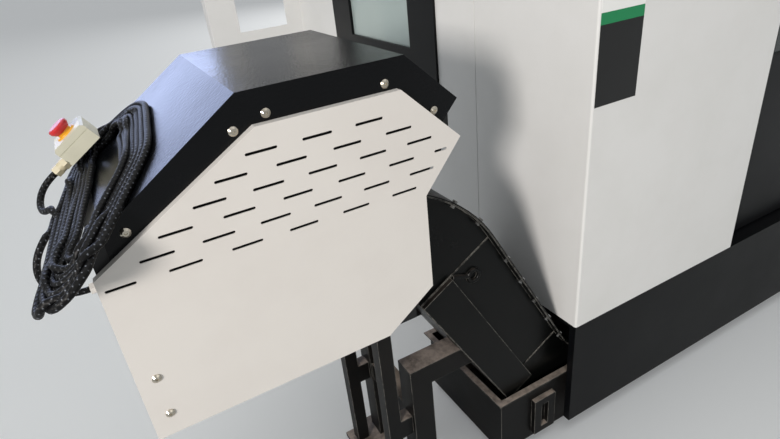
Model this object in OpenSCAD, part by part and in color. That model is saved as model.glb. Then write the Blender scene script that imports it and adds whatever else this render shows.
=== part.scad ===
// Vertical machining centre with a chip conveyor whose head stands at its left side.
// X runs to the right across the machine's front, Y runs back from it, Z is up from the floor.

/* [Enclosure] */
// Width of the enclosure across the front
machine_w = 2300; // [2240:10:2400]
// Depth of the enclosure's side walls
machine_d = 1710; // [1690:10:1760]
// Height of the enclosure's roof above the floor
machine_h = 2100; // [2080:10:2160]
// Width of each fixed front panel beside the doors
front_panel_w = 671; // [640:1:690]
// Depth of the folded corner panel, back to its seam
corner_d = 416; // [400:1:440]
// Thickness of the enclosure's sheet metal
sheet_t = 3; // [2:0.5:4]
// Depth of a panel's folded returns
return_d = 36; // [30:1:40]
// Visible gap between neighbouring panels
panel_gap = 2; // [1:0.5:4]
// Height of the underside of the base above the floor
base_z = 50; // [45:1:60]
// Height of the white panels' lower edge above the floor
base_top = 403; // [395:1:415]

/* [Doors and windows] */
// Height of the doors' upper edge
door_top = 1940; // [1900:10:1980]
// Width of the doors' black frame
door_stile = 90; // [70:1:110]
// Thickness of a door
door_t = 34; // [28:1:40]
// How far each door opens
door_travel = 400; // [370:10:410]
// Distance from the front face to the doors
door_setback = 45; // [42:1:50]
// Thickness of window glass
glass_t = 8; // [6:1:12]
// Distance from the front face to the side window's frame
side_window_y = 601; // [590:1:620]
// Length of the side window's frame
side_window_l = 718; // [680:1:740]
// Height of the side window frame's lower edge
side_window_z = 905; // [880:5:930]
// Height of the side window's frame
side_window_h = 860; // [800:10:900]
// Width of the side window's black border
side_window_border = 148; // [120:1:160]

/* [Conveyor run] */
// Angle of the conveyor's climb
incline = 60; // [55:1:62]
// Height of the duct, across its run
duct_h = 230; // [220:1:240]
// Width of the duct
duct_w = 308; // [290:1:320]
// Thickness of the duct's plate
duct_t = 3; // [2:0.5:4]
// Distance from the front face to the duct's near wall
duct_y = 64; // [60:1:70]
// Height of the belt's middle line in the tank
trough_z = 150; // [146:1:156]
// Height of the belt's middle line in the head
head_z = 850; // [830:1:870]
// Radius of the cover plate where the run turns up
low_bend_r = 150; // [130:1:170]
// Radius of the cover plate where the run levels out
top_bend_r = 405; // [395:1:415]
// Place across the machine where the run starts to turn up
low_bend_x = 130; // [120:1:140]
// Width of the flanges that the cover plate is bolted to
duct_flange = 24; // [20:1:28]
// Distance between the cover plate's bolts
duct_bolt_pitch = 94; // [90:1:120]
// Half the distance between the belt's upper and lower run
belt_half = 65; // [60:1:68]
// Thickness of the belt's plates
belt_t = 10; // [8:1:12]
// Distance between the belt's cleats
cleat_pitch = 280; // [240:10:320]

/* [Conveyor head] */
// Length of the head's cover from its right end to its left end
cover_l = 642; // [620:1:660]
// Width of the head across the machine
cover_w = 418; // [400:1:430]
// Height of the cover's flat top above the floor
cover_z = 1218; // [1200:1:1240]
// Length of the cover's flat top
cover_flat = 297; // [280:1:310]
// Run of the cover's left slope
cover_left_run = 238; // [225:1:250]
// Drop of the cover's left slope
cover_left_drop = 159; // [150:1:170]
// Thickness of the cover's sheet
cover_t = 2.5; // [2:0.5:4]
// Width of the flange that the cover is screwed on by
cover_flange = 60; // [56:1:64]
// Place across the machine of the cover's left end
cover_x = -993; // [-1000:1:-985]
// Distance from the front face to the cover's near flange
cover_y = 9; // [6:1:12]
// Depth of the guard pan
guard_d = 15; // [12:1:18]
// Thickness of the guard's sheet
guard_t = 2; // [1.5:0.5:3]
// Length of a ventilation slot
slot_l = 53.5; // [48:0.5:58]
// Width of a ventilation slot
slot_w = 5; // [4:0.5:6]
// Height between rows of slots
slot_row = 30.2; // [29:0.1:32]
// Distance between slots in the first, third and fifth rows
slot_pitch_a = 96.4; // [92:0.1:98]
// Distance between slots in the other rows
slot_pitch_b = 101.3; // [98:0.1:104]
// Diameter of the screws that hold the cover
cover_screw_d = 8; // [6:1:10]
// Outside of the guard's sheet to the head casing's side
casing_t = 3; // [2:0.5:4]

/* [Coolant tank] */
// Height of the tank's rim above the floor
tank_h = 228; // [222:1:234]
// Height of the tank's floor above the ground
tank_z = 22; // [20:1:26]
// Length of the tank left of the enclosure
tank_left = 224; // [222:1:240]
// Length of the tank right of the enclosure
tank_right = 300; // [290:5:340]
// Distance from the tank's walls to the conveyor's walls
tank_side = 25; // [23:1:28]
// Thickness of the tank's plate
tank_t = 4; // [3:0.5:5]
// Width of the tank's folded rim
tank_rim = 15; // [12:1:16]

/* [Axes] */
// Length of the table
table_l = 1000; // [900:10:1050]
// Depth of the table
table_w = 500; // [450:10:520]
// Thickness of the table
table_t = 70; // [60:1:80]
// Height of the table's top above the floor
table_z = 850; // [840:1:870]
// Width of the table's slots
t_slot_w = 18; // [14:2:22]
// Distance between the table's slots
t_slot_pitch = 100; // [90:5:100]
// Travel of the table along X, each way
travel_x = 400; // [350:10:420]
// Travel of the saddle along Y, each way
travel_y = 250; // [200:10:260]
// Travel of the spindle head along Z, downwards
travel_z = 500; // [400:10:520]
// Distance from the front face to the spindle's axis
spindle_y = 760; // [750:5:770]
// Distance from the spindle's axis to the column's face
throat = 550; // [530:5:560]
// Height of the spindle's nose above the table, head up
nose_gap = 650; // [620:10:660]
// Diameter of the spindle's nose
nose_d = 120; // [100:2:140]
// Diameter of the bore in the spindle's nose
nose_bore = 44; // [40:1:50]
// Width of a linear guide rail
rail_w = 35; // [30:1:45]
// Height of a linear guide rail
rail_h = 32; // [28:1:36]
// Height from a rail's foot to the top of its guide blocks
block_h = 45; // [42:1:48]
// Running gap between a guide block and its rail
block_gap = 0.5; // [0.3:0.1:1]
// Diameter of a ball screw
screw_d = 40; // [32:1:50]
// Gap around a turning shaft in its bearing
bearing_gap = 0.05; // [0.02:0.01:0.1]

/* [Tool changer] */
// Number of tool pockets
pocket_n = 16; // [12:2:18]
// Diameter of the circle that the pockets stand on
pocket_circle = 500; // [480:10:520]
// Diameter of a tool pocket
pocket_d = 62; // [56:1:66]
// How far the tool disc moves to the spindle
changer_travel = 320; // [300:5:340]
// Thickness of the tool disc
disc_t = 14; // [10:1:18]

/* [Control panel] */
// Width of the operator's panel
panel_w = 460; // [420:10:500]
// Height of the operator's panel
panel_h = 640; // [600:10:680]
// Depth of the operator's panel
panel_d = 120; // [110:5:130]
// Height of the panel's lower edge above the floor
panel_z = 1050; // [1000:10:1100]

/* [Electrical cabinet] */
// Width of the electrical cabinet
cabinet_w = 1300; // [1200:10:1400]
// Depth of the electrical cabinet
cabinet_d = 340; // [300:10:400]
// Height of the electrical cabinet
cabinet_h = 1350; // [1250:10:1400]
// Height of the cabinet's lower edge above the floor
cabinet_z = 420; // [410:10:450]

/* [Stop station and cable] */
// Width of the stop station's box
stop_w = 72; // [66:1:80]
// Depth of the stop station's box
stop_t = 40; // [38:1:48]
// Diameter of the stop button
stop_d = 40; // [36:1:44]
// Travel of a stop button
stop_travel = 4; // [3:0.5:5]
// Diameter of the stop station's cable
cable_d = 12; // [10:0.5:14]
// Thickness of the coiled cable's pile
coil_t = 26; // [24:1:28]

/* [Hidden] */
smooth = 48;
fine = 24;
// Gap left between pieces that are not joined
clear = 0.3;
mid_x = machine_w / 2;

// The guard pan's left edge, near face, top and bottom
guard_left = cover_x - 31;
guard_y = cover_y - guard_d;
guard_top = cover_z - 54;
guard_bottom = cover_z - 558;

// Outermost places, from which the origin under the middle is worked out
left_end = guard_left;
right_end = machine_w + tank_right + tank_rim;
arm_y = -75;
stop_rise = 19;
front_end = arm_y - panel_d / 2 - stop_rise;
rear_end = machine_d + cabinet_d + 22;
origin_x = (left_end + right_end) / 2;
origin_y = (front_end + rear_end) / 2;

// Moves a piece from the enclosure's front left corner to the origin
module place() {
    translate([-origin_x, -origin_y, 0]) children();
}

// A box between two corners
module block(low, high) {
    translate(low) cube(high - low);
}

// A flat shape drawn in X and Z, as thick as t from the plane y
module plate_y(y, t) {
    translate([0, y + t, 0]) rotate([90, 0, 0]) linear_extrude(t) children();
}

// A flat shape drawn in Y and Z, as thick as t from the plane x
module plate_x(x, t) {
    translate([x, 0, 0]) rotate([90, 0, 90]) linear_extrude(t) children();
}

// A round bar along X, Y or Z, from its start
module rod_x(start, d, l) {
    translate(start) rotate([0, 90, 0]) cylinder(d = d, h = l, $fn = smooth);
}

module rod_y(start, d, l) {
    translate(start) rotate([-90, 0, 0]) cylinder(d = d, h = l, $fn = smooth);
}

module rod_z(start, d, l) {
    translate(start) cylinder(d = d, h = l, $fn = smooth);
}

// The same piece on the right of the machine
module on_right() {
    translate([machine_w, 0, 0]) mirror([1, 0, 0]) children();
}

// A closed outline moved inwards by d, its points in anticlockwise order
function unit(v) = v / norm(v);
function inward(a, b) = let (v = unit(b - a)) [-v.y, v.x];
function inset(p, d) = [
    for (i = [0 : len(p) - 1])
        let (
            m = inward(p[(i + len(p) - 1) % len(p)], p[i]),
            n = inward(p[i], p[(i + 1) % len(p)])
        )
        p[i] + d * (m + n) / (1 + m * n)
];

// A quarter of a bent sheet's corner, its centre at the origin, opening to the upper right
module bent_corner(r, t, h) {
    rotate([0, 0, 180]) rotate_extrude(angle = 90, $fn = smooth)
        translate([r - t, 0]) square([t, h]);
}

// Bed casting with its nose over the conveyor
bed_w = 800;
bed_foot = 90;
block_w = 100;
block_l = 90;
block_out_y = 130;
block_out_x = 200;
saddle_t = 120;
saddle_w = 420;
saddle_l = 2 * travel_x + 500;
saddle_z = table_z - table_t - block_h - saddle_t;
bed_z = saddle_z - block_h;
bed_y = spindle_y - block_out_y - travel_y - 40;
bed_back = machine_d - 20;
y_rail_x = 330;
x_rail_y = 140;
column_w = 600;
column_y = spindle_y + throat;
column_z = 2300;
screw_channel = 170;
screw_drop = 70;
motor_w = 130;
y_screw_z = bed_z - screw_drop;
bearing_l = 30;

module bed() {
    color("dimgray") place() difference() {
        plate_x(mid_x - bed_w / 2, bed_w) polygon([
            [bed_y + 90, bed_foot], [bed_back, bed_foot], [bed_back, bed_z], [bed_y, bed_z],
            [bed_y, bed_z - 90], [bed_y + 90, bed_z - 270],
        ]);
        difference() {
            block([mid_x - screw_channel / 2, bed_y - 1, y_screw_z - 80],
                  [mid_x + screw_channel / 2, column_y + 260, bed_z + 1]);
            block([mid_x - screw_channel / 2, bed_y, y_screw_z - 81],
                  [mid_x + screw_channel / 2, bed_y + bearing_l, y_screw_z + 45]);
            block([mid_x - screw_channel / 2, column_y + 10, y_screw_z - 81],
                  [mid_x + screw_channel / 2, column_y + 10 + bearing_l, y_screw_z + 45]);
        }
        rod_y([mid_x, bed_y - 1, y_screw_z], screw_d + 2 * bearing_gap, column_y);
        for (x = [mid_x - bed_w / 2 - 1, mid_x + bed_w / 2 - 119])
            for (y = [700, 1150])
                block([x, y, bed_foot + 100], [x + 120, y + 260, bed_z - 140]);
    }
}

// Levelling feet under the bed and under the skirt
bed_foot_y = [bed_y + 180, (bed_y + machine_d + 70) / 2, machine_d - 110];
skirt_foot_x = [90, machine_w - 90];

module foot(x, y, top, d) {
    rod_z([x, y, 0], d, 16);
    rod_z([x, y, 16], d * 0.36, top - 16);
    translate([x, y, 22]) cylinder(d = d * 0.62, h = 12, $fn = 6);
}

module feet() {
    color("darkslategray") place() {
        for (x = [mid_x - bed_w / 2 + 70, mid_x + bed_w / 2 - 70])
            for (y = bed_foot_y)
                foot(x, y, bed_foot, 110);
        for (x = skirt_foot_x)
            for (y = [machine_d / 3, machine_d - 60])
                foot(x, y, base_z, 60);
    }
}

// Base skirt: a black folded frame with the conveyor's and the tank's ways through its ends
skirt_top = base_top - 3;
sill_y = door_setback + door_t + 12;
guide_w = 5;
guide_y = door_setback + door_t / 2 - guide_w / 2;
opening_y = duct_y - 42;
opening_rear = duct_y + duct_w + 42;

module base_skirt() {
    color("black") place() difference() {
        union() {
            block([0, 0, base_z], [machine_w, sheet_t, skirt_top]);
            block([0, machine_d - sheet_t, base_z], [machine_w, machine_d, skirt_top]);
            block([0, 0, base_z], [sheet_t, machine_d, skirt_top]);
            block([machine_w - sheet_t, 0, base_z], [machine_w, machine_d, skirt_top]);
            block([0, 0, skirt_top], [machine_w, sill_y, base_top]);
            block([guide_x, guide_y, base_top], [machine_w - guide_x, guide_y + guide_w, base_top + 15]);
            for (x = [0, machine_w - 120])
                for (y = [machine_d / 3 - 60, machine_d - 120])
                    block([x, y, base_z], [x + 120, y + 120, base_z + sheet_t]);
        }
        block([-1, opening_y, base_z - 1], [sheet_t + 1, opening_rear, skirt_top - 8]);
        block([machine_w - sheet_t - 1, opening_y, base_z - 1],
              [machine_w + 1, opening_rear, tank_h + 12]);
    }
}

// Column with a channel down its front for the vertical screw
channel_w = 260;
channel_d = 80;
z_screw_y = column_y - 28;
z_rail_x = 220;
z_rail_low = table_z + nose_gap + 60 - travel_z;
z_screw_low = z_rail_low - 20;

module column() {
    color("gainsboro") place() difference() {
        union() {
            changer_beam();
            difference() {
                block([mid_x - column_w / 2, column_y, bed_z],
                      [mid_x + column_w / 2, bed_back, column_z]);
                block([mid_x - channel_w / 2, column_y - 1, z_screw_low],
                      [mid_x + channel_w / 2, column_y + channel_d, column_z + 1]);
            }
            for (z = [z_screw_low, column_z - bearing_l])
                block([mid_x - 60, z_screw_y - 35, z], [mid_x + 60, column_y + channel_d, z + bearing_l]);
        }
        rod_z([mid_x, z_screw_y, z_screw_low - 1], screw_d + 2 * bearing_gap, column_z);
        block([mid_x - column_w / 2 - 1, column_y + 120, bed_z + 260],
              [mid_x - column_w / 2 + 60, bed_back - 90, bed_z + 900]);
        block([mid_x + column_w / 2 - 60, column_y + 120, bed_z + 260],
              [mid_x + column_w / 2 + 1, bed_back - 90, bed_z + 900]);
    }
}

// A guide rail along Y with its section in X and Z, waisted as such rails are
module rail_section() {
    h = rail_h;
    w = rail_w / 2;
    polygon([[-w, 0], [w, 0], [w, h * 0.4], [w - 4, h * 0.55], [w - 4, h * 0.65], [w, h * 0.8],
             [w, h - 2], [w - 2, h], [2 - w, h], [-w, h - 2], [-w, h * 0.8], [4 - w, h * 0.65],
             [4 - w, h * 0.55], [-w, h * 0.4]]);
}

module fixed_rails() {
    color("silver") place() {
        for (x = [mid_x - y_rail_x, mid_x + y_rail_x])
            translate([x, 0, bed_z]) plate_y(bed_y + 5, column_y - bed_y - 10) rail_section();
        for (x = [mid_x - z_rail_x, mid_x + z_rail_x])
            translate([x, column_y, z_rail_low]) rotate([90, 0, 0])
                translate([0, column_z - z_rail_low - 20, 0])
                    rotate([90, 0, 0]) linear_extrude(column_z - z_rail_low - 20) rail_section();
    }
}

module y_screw() {
    color("silver") place() rod_y([mid_x, bed_y - 12, y_screw_z], screw_d, column_y + 60 - bed_y);
}

module z_screw() {
    color("silver") place()
        rod_z([mid_x, z_screw_y, z_screw_low - 10], screw_d, column_z - z_screw_low + 30);
}

// Servo motor with its flange towards the start, along Z
module servo(l) {
    difference() {
        union() {
            translate([-motor_w / 2, -motor_w / 2, 0]) cube([motor_w, motor_w, 14]);
            translate([-motor_w / 2 + 6, -motor_w / 2 + 6, 14]) cube([motor_w - 12, motor_w - 12, l - 14]);
            translate([-22, motor_w / 2 - 6, l - 60]) cube([44, 20, 40]);
        }
        translate([0, 0, -1]) cylinder(d = screw_d + 1, h = 31, $fn = smooth);
    }
}

z_motor_z = column_z + 45;

module axis_motors() {
    color("black") place() {
        translate([mid_x, column_y + 10 + bearing_l, y_screw_z])
            rotate([-90, 0, 0]) servo(200);
        translate([mid_x, z_screw_y, z_motor_z]) servo(180);
        difference() {
            block([mid_x - 75, z_screw_y - 75, column_z], [mid_x + 75, z_screw_y + 75, z_motor_z]);
            block([mid_x - 60, z_screw_y - 76, column_z + 6], [mid_x + 60, z_screw_y + 76, z_motor_z - 8]);
            rod_z([mid_x, z_screw_y, column_z - 1], screw_d + 2, 60);
        }
    }
}

// Guide block over a rail that runs along Y, its foot at the rail's foot
module guide_block() {
    difference() {
        translate([-block_w / 2, -block_l / 2, block_h * 0.15])
            cube([block_w, block_l, block_h * 0.85]);
        translate([-rail_w / 2 - block_gap, -block_l / 2 - 1, -1])
            cube([rail_w + 2 * block_gap, block_l + 2, rail_h + 1 + block_gap]);
    }
}

x_screw_z = saddle_z + saddle_t - 45;
x_channel = 110;

module saddle() {
    color("dimgray") place() difference() {
        union() {
            block([mid_x - saddle_l / 2, spindle_y - saddle_w / 2, saddle_z],
                  [mid_x + saddle_l / 2, spindle_y + saddle_w / 2, saddle_z + saddle_t]);
            for (x = [mid_x - y_rail_x, mid_x + y_rail_x])
                for (y = [spindle_y - block_out_y, spindle_y + block_out_y])
                    translate([x, y, bed_z]) guide_block();
            block([mid_x - 50, spindle_y - 50, y_screw_z - 45], [mid_x + 50, spindle_y + 50, saddle_z]);
            translate([mid_x + saddle_l / 2, spindle_y, x_screw_z]) rotate([0, 90, 0])
                translate([-5, 0, 0]) servo(180);
        }
        block([mid_x - saddle_l / 2 + 40, spindle_y - x_channel / 2, saddle_z + 25],
              [mid_x + saddle_l / 2 - 40, spindle_y + x_channel / 2, saddle_z + saddle_t + 1]);
        rod_y([mid_x, spindle_y - 60, y_screw_z], screw_d + 2 * clear, 120);
        rod_x([mid_x - saddle_l / 2 - 1, spindle_y, x_screw_z], screw_d + 2 * bearing_gap, saddle_l + 22);
        for (x = [mid_x - 520, mid_x + 260])
            block([x, spindle_y - saddle_w / 2 - 1, saddle_z + 25],
                  [x + 260, spindle_y - saddle_w / 2 + 40, saddle_z + saddle_t - 25]);
    }
}

module saddle_rails() {
    color("silver") place()
        for (y = [spindle_y - x_rail_y, spindle_y + x_rail_y])
            translate([0, y, saddle_z + saddle_t]) rotate([0, 0, 90])
                translate([0, -mid_x - saddle_l / 2 + 5, 0]) plate_y(0, saddle_l - 10) rail_section();
}

module x_screw() {
    color("silver") place()
        rod_x([mid_x - saddle_l / 2 - 8, spindle_y, x_screw_z], screw_d, saddle_l + 20);
}

// Table with its slots
slot_throat = 18;
slot_foot = 14;

module table() {
    top = table_z;
    color("silver") place() difference() {
        union() {
            block([mid_x - table_l / 2, spindle_y - table_w / 2, top - table_t],
                  [mid_x + table_l / 2, spindle_y + table_w / 2, top]);
            for (x = [mid_x - block_out_x, mid_x + block_out_x])
                for (y = [spindle_y - x_rail_y, spindle_y + x_rail_y])
                    translate([x, y, saddle_z + saddle_t]) rotate([0, 0, 90]) guide_block();
            block([mid_x - 50, spindle_y - 45, x_screw_z - 40], [mid_x + 50, spindle_y + 45, top - table_t]);
        }
        for (i = [-2 : 2])
            translate([0, spindle_y + i * t_slot_pitch, 0]) {
                block([mid_x - table_l / 2 - 1, -t_slot_w / 2, top - slot_throat],
                      [mid_x + table_l / 2 + 1, t_slot_w / 2, top + 1]);
                block([mid_x - table_l / 2 - 1, -t_slot_w * 0.85, top - slot_throat - slot_foot],
                      [mid_x + table_l / 2 + 1, t_slot_w * 0.85, top - slot_throat]);
            }
        for (y = [spindle_y - table_w / 2 - 1, spindle_y + table_w / 2 - 11])
            block([mid_x - table_l / 2 - 1, y, top - 50], [mid_x + table_l / 2 + 1, y + 12, top - 36]);
        rod_x([mid_x - 60, spindle_y, x_screw_z], screw_d + 2 * clear, 120);
    }
}

// Spindle head, its guide blocks and its nut on the column's side
nose_z = table_z + nose_gap;
cartridge_d = 200;
head_w = 300;
head_low = nose_z + 120;
head_high = nose_z + 640;
carriage_t = 34;
carriage_y = column_y - block_h - carriage_t;
carriage_w = 560;
carriage_low = nose_z + 70;
carriage_high = nose_z + 690;
spindle_shaft = 80;

module spindle_head() {
    color("gainsboro") place() difference() {
        union() {
            plate_x(mid_x - head_w / 2, head_w) polygon([
                [spindle_y - 120, head_low], [spindle_y + 140, head_low],
                [carriage_y + carriage_t, head_low - 40], [carriage_y + carriage_t, head_high],
                [spindle_y - 80, head_high], [spindle_y - 120, head_high - 60],
            ]);
            block([mid_x - carriage_w / 2, carriage_y, carriage_low],
                  [mid_x + carriage_w / 2, carriage_y + carriage_t, carriage_high]);
            rod_z([mid_x, spindle_y, nose_z + 12], cartridge_d, 150);
            for (x = [mid_x - z_rail_x, mid_x + z_rail_x])
                for (z = [carriage_low + 60, carriage_high - 60])
                    translate([x, column_y, z]) rotate([90, 0, 0]) guide_block();
            block([mid_x - 45, carriage_y + carriage_t, carriage_low + 240],
                  [mid_x + 45, z_screw_y + 45, carriage_low + 340]);
        }
        rod_z([mid_x, z_screw_y, carriage_low], screw_d + 2 * clear, 640);
        rod_z([mid_x, spindle_y, nose_z - 1], spindle_shaft + 2 * bearing_gap, 420);
        rod_z([mid_x, spindle_y, nose_z + 11], nose_d * 0.9, 30);
    }
}

module spindle_motor() {
    color("black") place() {
        block([mid_x - 110, spindle_y - 80, head_high], [mid_x + 110, spindle_y + 140, head_high + 16]);
        rod_z([mid_x, spindle_y + 30, head_high + 16], 200, 230);
        rod_z([mid_x, spindle_y + 30, head_high + 246], 170, 30);
        block([mid_x + 96, spindle_y, head_high + 120], [mid_x + 136, spindle_y + 70, head_high + 200]);
    }
}

module spindle() {
    color("silver") place() difference() {
        union() {
            rod_z([mid_x, spindle_y, nose_z], nose_d, 12 - clear);
            rod_z([mid_x, spindle_y, nose_z + 1], spindle_shaft, 400);
        }
        rod_z([mid_x, spindle_y, nose_z - 1], nose_bore, 90);
        for (x = [-1, 1])
            block([mid_x + x * (nose_d / 2 - 9) - 10, spindle_y - 8, nose_z - 1],
                  [mid_x + x * (nose_d / 2 - 9) + 10, spindle_y + 8, nose_z + 7]);
    }
}

// Corner panel: front face and side face bent from one sheet, with returns at its edges
fold_r = 6;
wall_top = machine_h - 3;

module front_panel(w) {
    h = wall_top - base_top;
    translate([0, 0, base_top]) {
        translate([fold_r, fold_r, 0]) bent_corner(fold_r, sheet_t, h);
        translate([fold_r, 0, 0]) cube([w - fold_r, sheet_t, h]);
        translate([0, fold_r, 0]) cube([sheet_t, corner_d - fold_r, h]);
        translate([w - sheet_t, sheet_t - 1, 0]) cube([sheet_t, return_d - sheet_t + 1, h]);
        translate([sheet_t - 1, corner_d - sheet_t, 0]) cube([return_d - sheet_t + 1, sheet_t, h]);
        translate([fold_r, sheet_t - 1, 0]) cube([w - fold_r, return_d - sheet_t + 1, sheet_t]);
        translate([fold_r, sheet_t - 1, h - sheet_t]) cube([w - fold_r, return_d - sheet_t + 1, sheet_t]);
    }
}

module left_front_panel() {
    color("white") place() front_panel(front_panel_w);
}

module right_front_panel() {
    color("white") place() on_right() front_panel(front_panel_w);
}

// Side panel from the corner panel's seam to the rear
window_side = side_window_y + side_window_border;
window_low = side_window_z + side_window_border;
window_l = side_window_l - 2 * side_window_border;
window_h = side_window_h - 2 * side_window_border;
frame_proud = 8;
frame_lap = 12;

module side_sheet() {
    y = corner_d + panel_gap;
    h = wall_top - base_top;
    rear = machine_d - sheet_t;
    translate([0, 0, base_top]) {
        translate([0, y, 0]) cube([sheet_t, rear - y, h]);
        translate([sheet_t - 1, y, 0]) cube([return_d - sheet_t + 1, sheet_t, h]);
        translate([sheet_t - 1, rear - sheet_t, 0]) cube([return_d - sheet_t + 1, sheet_t, h]);
        translate([sheet_t - 1, y, 0]) cube([return_d - sheet_t + 1, rear - y, sheet_t]);
        translate([sheet_t - 1, y, h - sheet_t]) cube([return_d - sheet_t + 1, rear - y, sheet_t]);
    }
}

module left_side_panel() {
    color("white") place() difference() {
        side_sheet();
        block([-1, side_window_y + frame_lap, side_window_z + frame_lap],
              [sheet_t + 1, side_window_y + side_window_l - frame_lap,
               side_window_z + side_window_h - frame_lap]);
    }
}

module right_side_panel() {
    color("white") place() on_right() side_sheet();
}

module side_window_frame() {
    inner = frame_lap + clear;
    color("black") place() difference() {
        union() {
            block([-frame_proud, side_window_y, side_window_z],
                  [0, side_window_y + side_window_l, side_window_z + side_window_h]);
            block([-1, side_window_y + inner, side_window_z + inner],
                  [sheet_t + 12, side_window_y + side_window_l - inner,
                   side_window_z + side_window_h - inner]);
        }
        block([-frame_proud - 1, window_side, window_low],
              [sheet_t + 13, window_side + window_l, window_low + window_h]);
        block([sheet_t, window_side - 14, window_low - 14],
              [sheet_t + 13, window_side + window_l + 14, window_low + window_h + 14]);
    }
}

module side_window_glass() {
    gap = 14 - clear;
    color("lightcyan", 0.5) place()
        block([sheet_t, window_side - gap, window_low - gap],
              [sheet_t + glass_t, window_side + window_l + gap, window_low + window_h + gap]);
}

// Header over the doors, with the channel that the doors hang in
rail_low = door_top + 6;
channel_front = door_setback - 3;
channel_back = door_setback + door_t + 3;
channel_h = 40;
neck_w = 8;
neck_y = door_setback + door_t / 2;

module door_header() {
    w = front_panel_w + panel_gap;
    color("white") place() {
        block([w, 0, door_top], [machine_w - w, sheet_t, wall_top]);
        block([w, sheet_t - 1, door_top], [machine_w - w, return_d, door_top + sheet_t]);
        block([w, sheet_t - 1, wall_top - sheet_t], [machine_w - w, return_d, wall_top]);
        difference() {
            block([guide_x, channel_front, rail_low],
                  [machine_w - guide_x, channel_back, rail_low + channel_h]);
            block([guide_x - 1, channel_front + 3, rail_low + 3],
                  [machine_w - guide_x + 1, channel_back - 3, rail_low + channel_h - 3]);
            block([guide_x - 1, neck_y - neck_w / 2 - 2, rail_low - 1],
                  [machine_w - guide_x + 1, neck_y + neck_w / 2 + 2, rail_low + 4]);
        }
        block([w + 10, return_d - 1, rail_low + channel_h],
              [machine_w - w - 10, channel_back, rail_low + channel_h + 4]);
        block([w + 10, return_d - 4, rail_low + channel_h], [machine_w - w - 10, return_d, wall_top - 1]);
    }
}

// Sliding door, drawn as the left one: black frame, window, handle and two hangers
door_lap = 30;
door_x = front_panel_w - door_lap;
door_w = mid_x - 1 - door_x;
guide_x = door_x - door_travel - 180;
door_low = base_top + 6;
pane_low = 980;
pane_high = door_top - 90;
pane_left = front_panel_w + door_stile;
pane_right = mid_x - door_stile;
pane_lap = 12;

module door() {
    color("black") place() difference() {
        union() {
            block([door_x, door_setback, door_low], [door_x + door_w, door_setback + door_t, door_top]);
            for (x = [door_x + 60, door_x + door_w - 100]) {
                block([x, neck_y - neck_w / 2, door_top - 1], [x + 40, neck_y + neck_w / 2, rail_low + 10]);
                block([x, channel_front + 3 + clear, rail_low + 3 + clear],
                      [x + 40, channel_back - 3 - clear, rail_low + 18]);
            }
            for (z = [1120, 1380])
                block([mid_x - 62, door_setback - 32, z], [mid_x - 40, door_setback + 1, z + 22]);
            rod_z([mid_x - 51, door_setback - 30, 1090], 22, 342);
        }
        block([door_x + 3, door_setback + 3, door_low + 60],
              [door_x + door_w - 3, door_setback + door_t + 1, pane_low - 60]);
        block([pane_left, door_setback - 1, pane_low], [pane_right, door_setback + door_t + 1, pane_high]);
        block([pane_left - pane_lap, door_setback + 10, pane_low - pane_lap],
              [pane_right + pane_lap, door_setback + door_t + 1, pane_high + pane_lap]);
        block([door_x - 1, guide_y - 1, door_low - 1],
              [door_x + door_w + 1, guide_y + guide_w + 1, base_top + 18]);
    }
}

module door_pane() {
    gap = pane_lap - clear;
    color("gray", 0.5) place()
        block([pane_left - gap, door_setback + 10, pane_low - gap],
              [pane_right + gap, door_setback + 10 + glass_t, pane_high + gap]);
}

module left_door() {
    door();
}

module left_door_glass() {
    door_pane();
}

// Mirrored about the machine's middle, in the placed frame
module across() {
    translate([2 * (mid_x - origin_x), 0, 0]) mirror([1, 0, 0]) children();
}

module right_door() {
    across() door();
}

module right_door_glass() {
    across() door_pane();
}

// Roof with a way through it for the spindle head
roof_x = 400;
roof_y = spindle_y - 200;

module roof() {
    color("white") place() {
        difference() {
            block([0, 0, wall_top], [machine_w, machine_d, machine_h]);
            block([mid_x - roof_x, roof_y, wall_top - 1], [mid_x + roof_x, bed_back + 2, machine_h + 1]);
        }
        rear_wall();
    }
}

module rear_wall() {
    difference() {
        block([0, machine_d - sheet_t, base_top], [machine_w, machine_d, wall_top]);
        for (x = [mid_x - 800, mid_x + 600])
            for (i = [0 : 7])
                translate([x, machine_d - sheet_t - 1, 1780 + i * 30]) cube([200, sheet_t + 2, 10]);
    }
}

// Frame that stands out at the rear of the left side, with an open middle
side_frame_x = 412;
side_frame_t = 60;
side_frame_low = 900;
side_frame_left = 124;
side_frame_right = 72;
side_frame_open = 1052;

module rear_side_frame() {
    color("white") place() difference() {
        block([-side_frame_x, machine_d, side_frame_low], [120, machine_d + side_frame_t, machine_h]);
        block([-side_frame_x + sheet_t, machine_d + sheet_t, side_frame_low + sheet_t],
              [120 - sheet_t, machine_d + side_frame_t + 1, machine_h - sheet_t]);
        block([side_frame_left - side_frame_x, machine_d - 1, side_frame_open],
              [-side_frame_right, machine_d + sheet_t + 1, machine_h - 150]);
    }
}

// Trays that lead chips from the sides to the conveyor
tray_rear = bed_back;
tray_low = 290;

module tray() {
    x0 = return_d;
    x1 = mid_x - bed_w / 2;
    y0 = duct_y + duct_w + 30;
    color("silver") {
        translate([x0, 0, 0]) plate_x(0, x1 - x0) polygon([
            [y0, tray_low], [tray_rear, 620], [tray_rear, 620 + sheet_t], [y0, tray_low + sheet_t]]);
        block([x0, y0 - sheet_t, tank_h + 22], [x1, y0, tray_low + sheet_t]);
    }
}

module chip_trays() {
    place() {
        tray();
        on_right() tray();
    }
}

// Tool changer: a beam on the column, a carriage along it and the notched disc
beam_y = 1100;
beam_low = 1600;
beam_high = 1700;
beam_left = 300;
carriage_x = mid_x - pocket_circle / 2 - changer_travel;
beam_right = carriage_x + changer_travel + 80;
hub_d = 220;
disc_z = nose_z - 62;
cover_disc_z = disc_z + disc_t + 1;
carriage_rail = 24;

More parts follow.
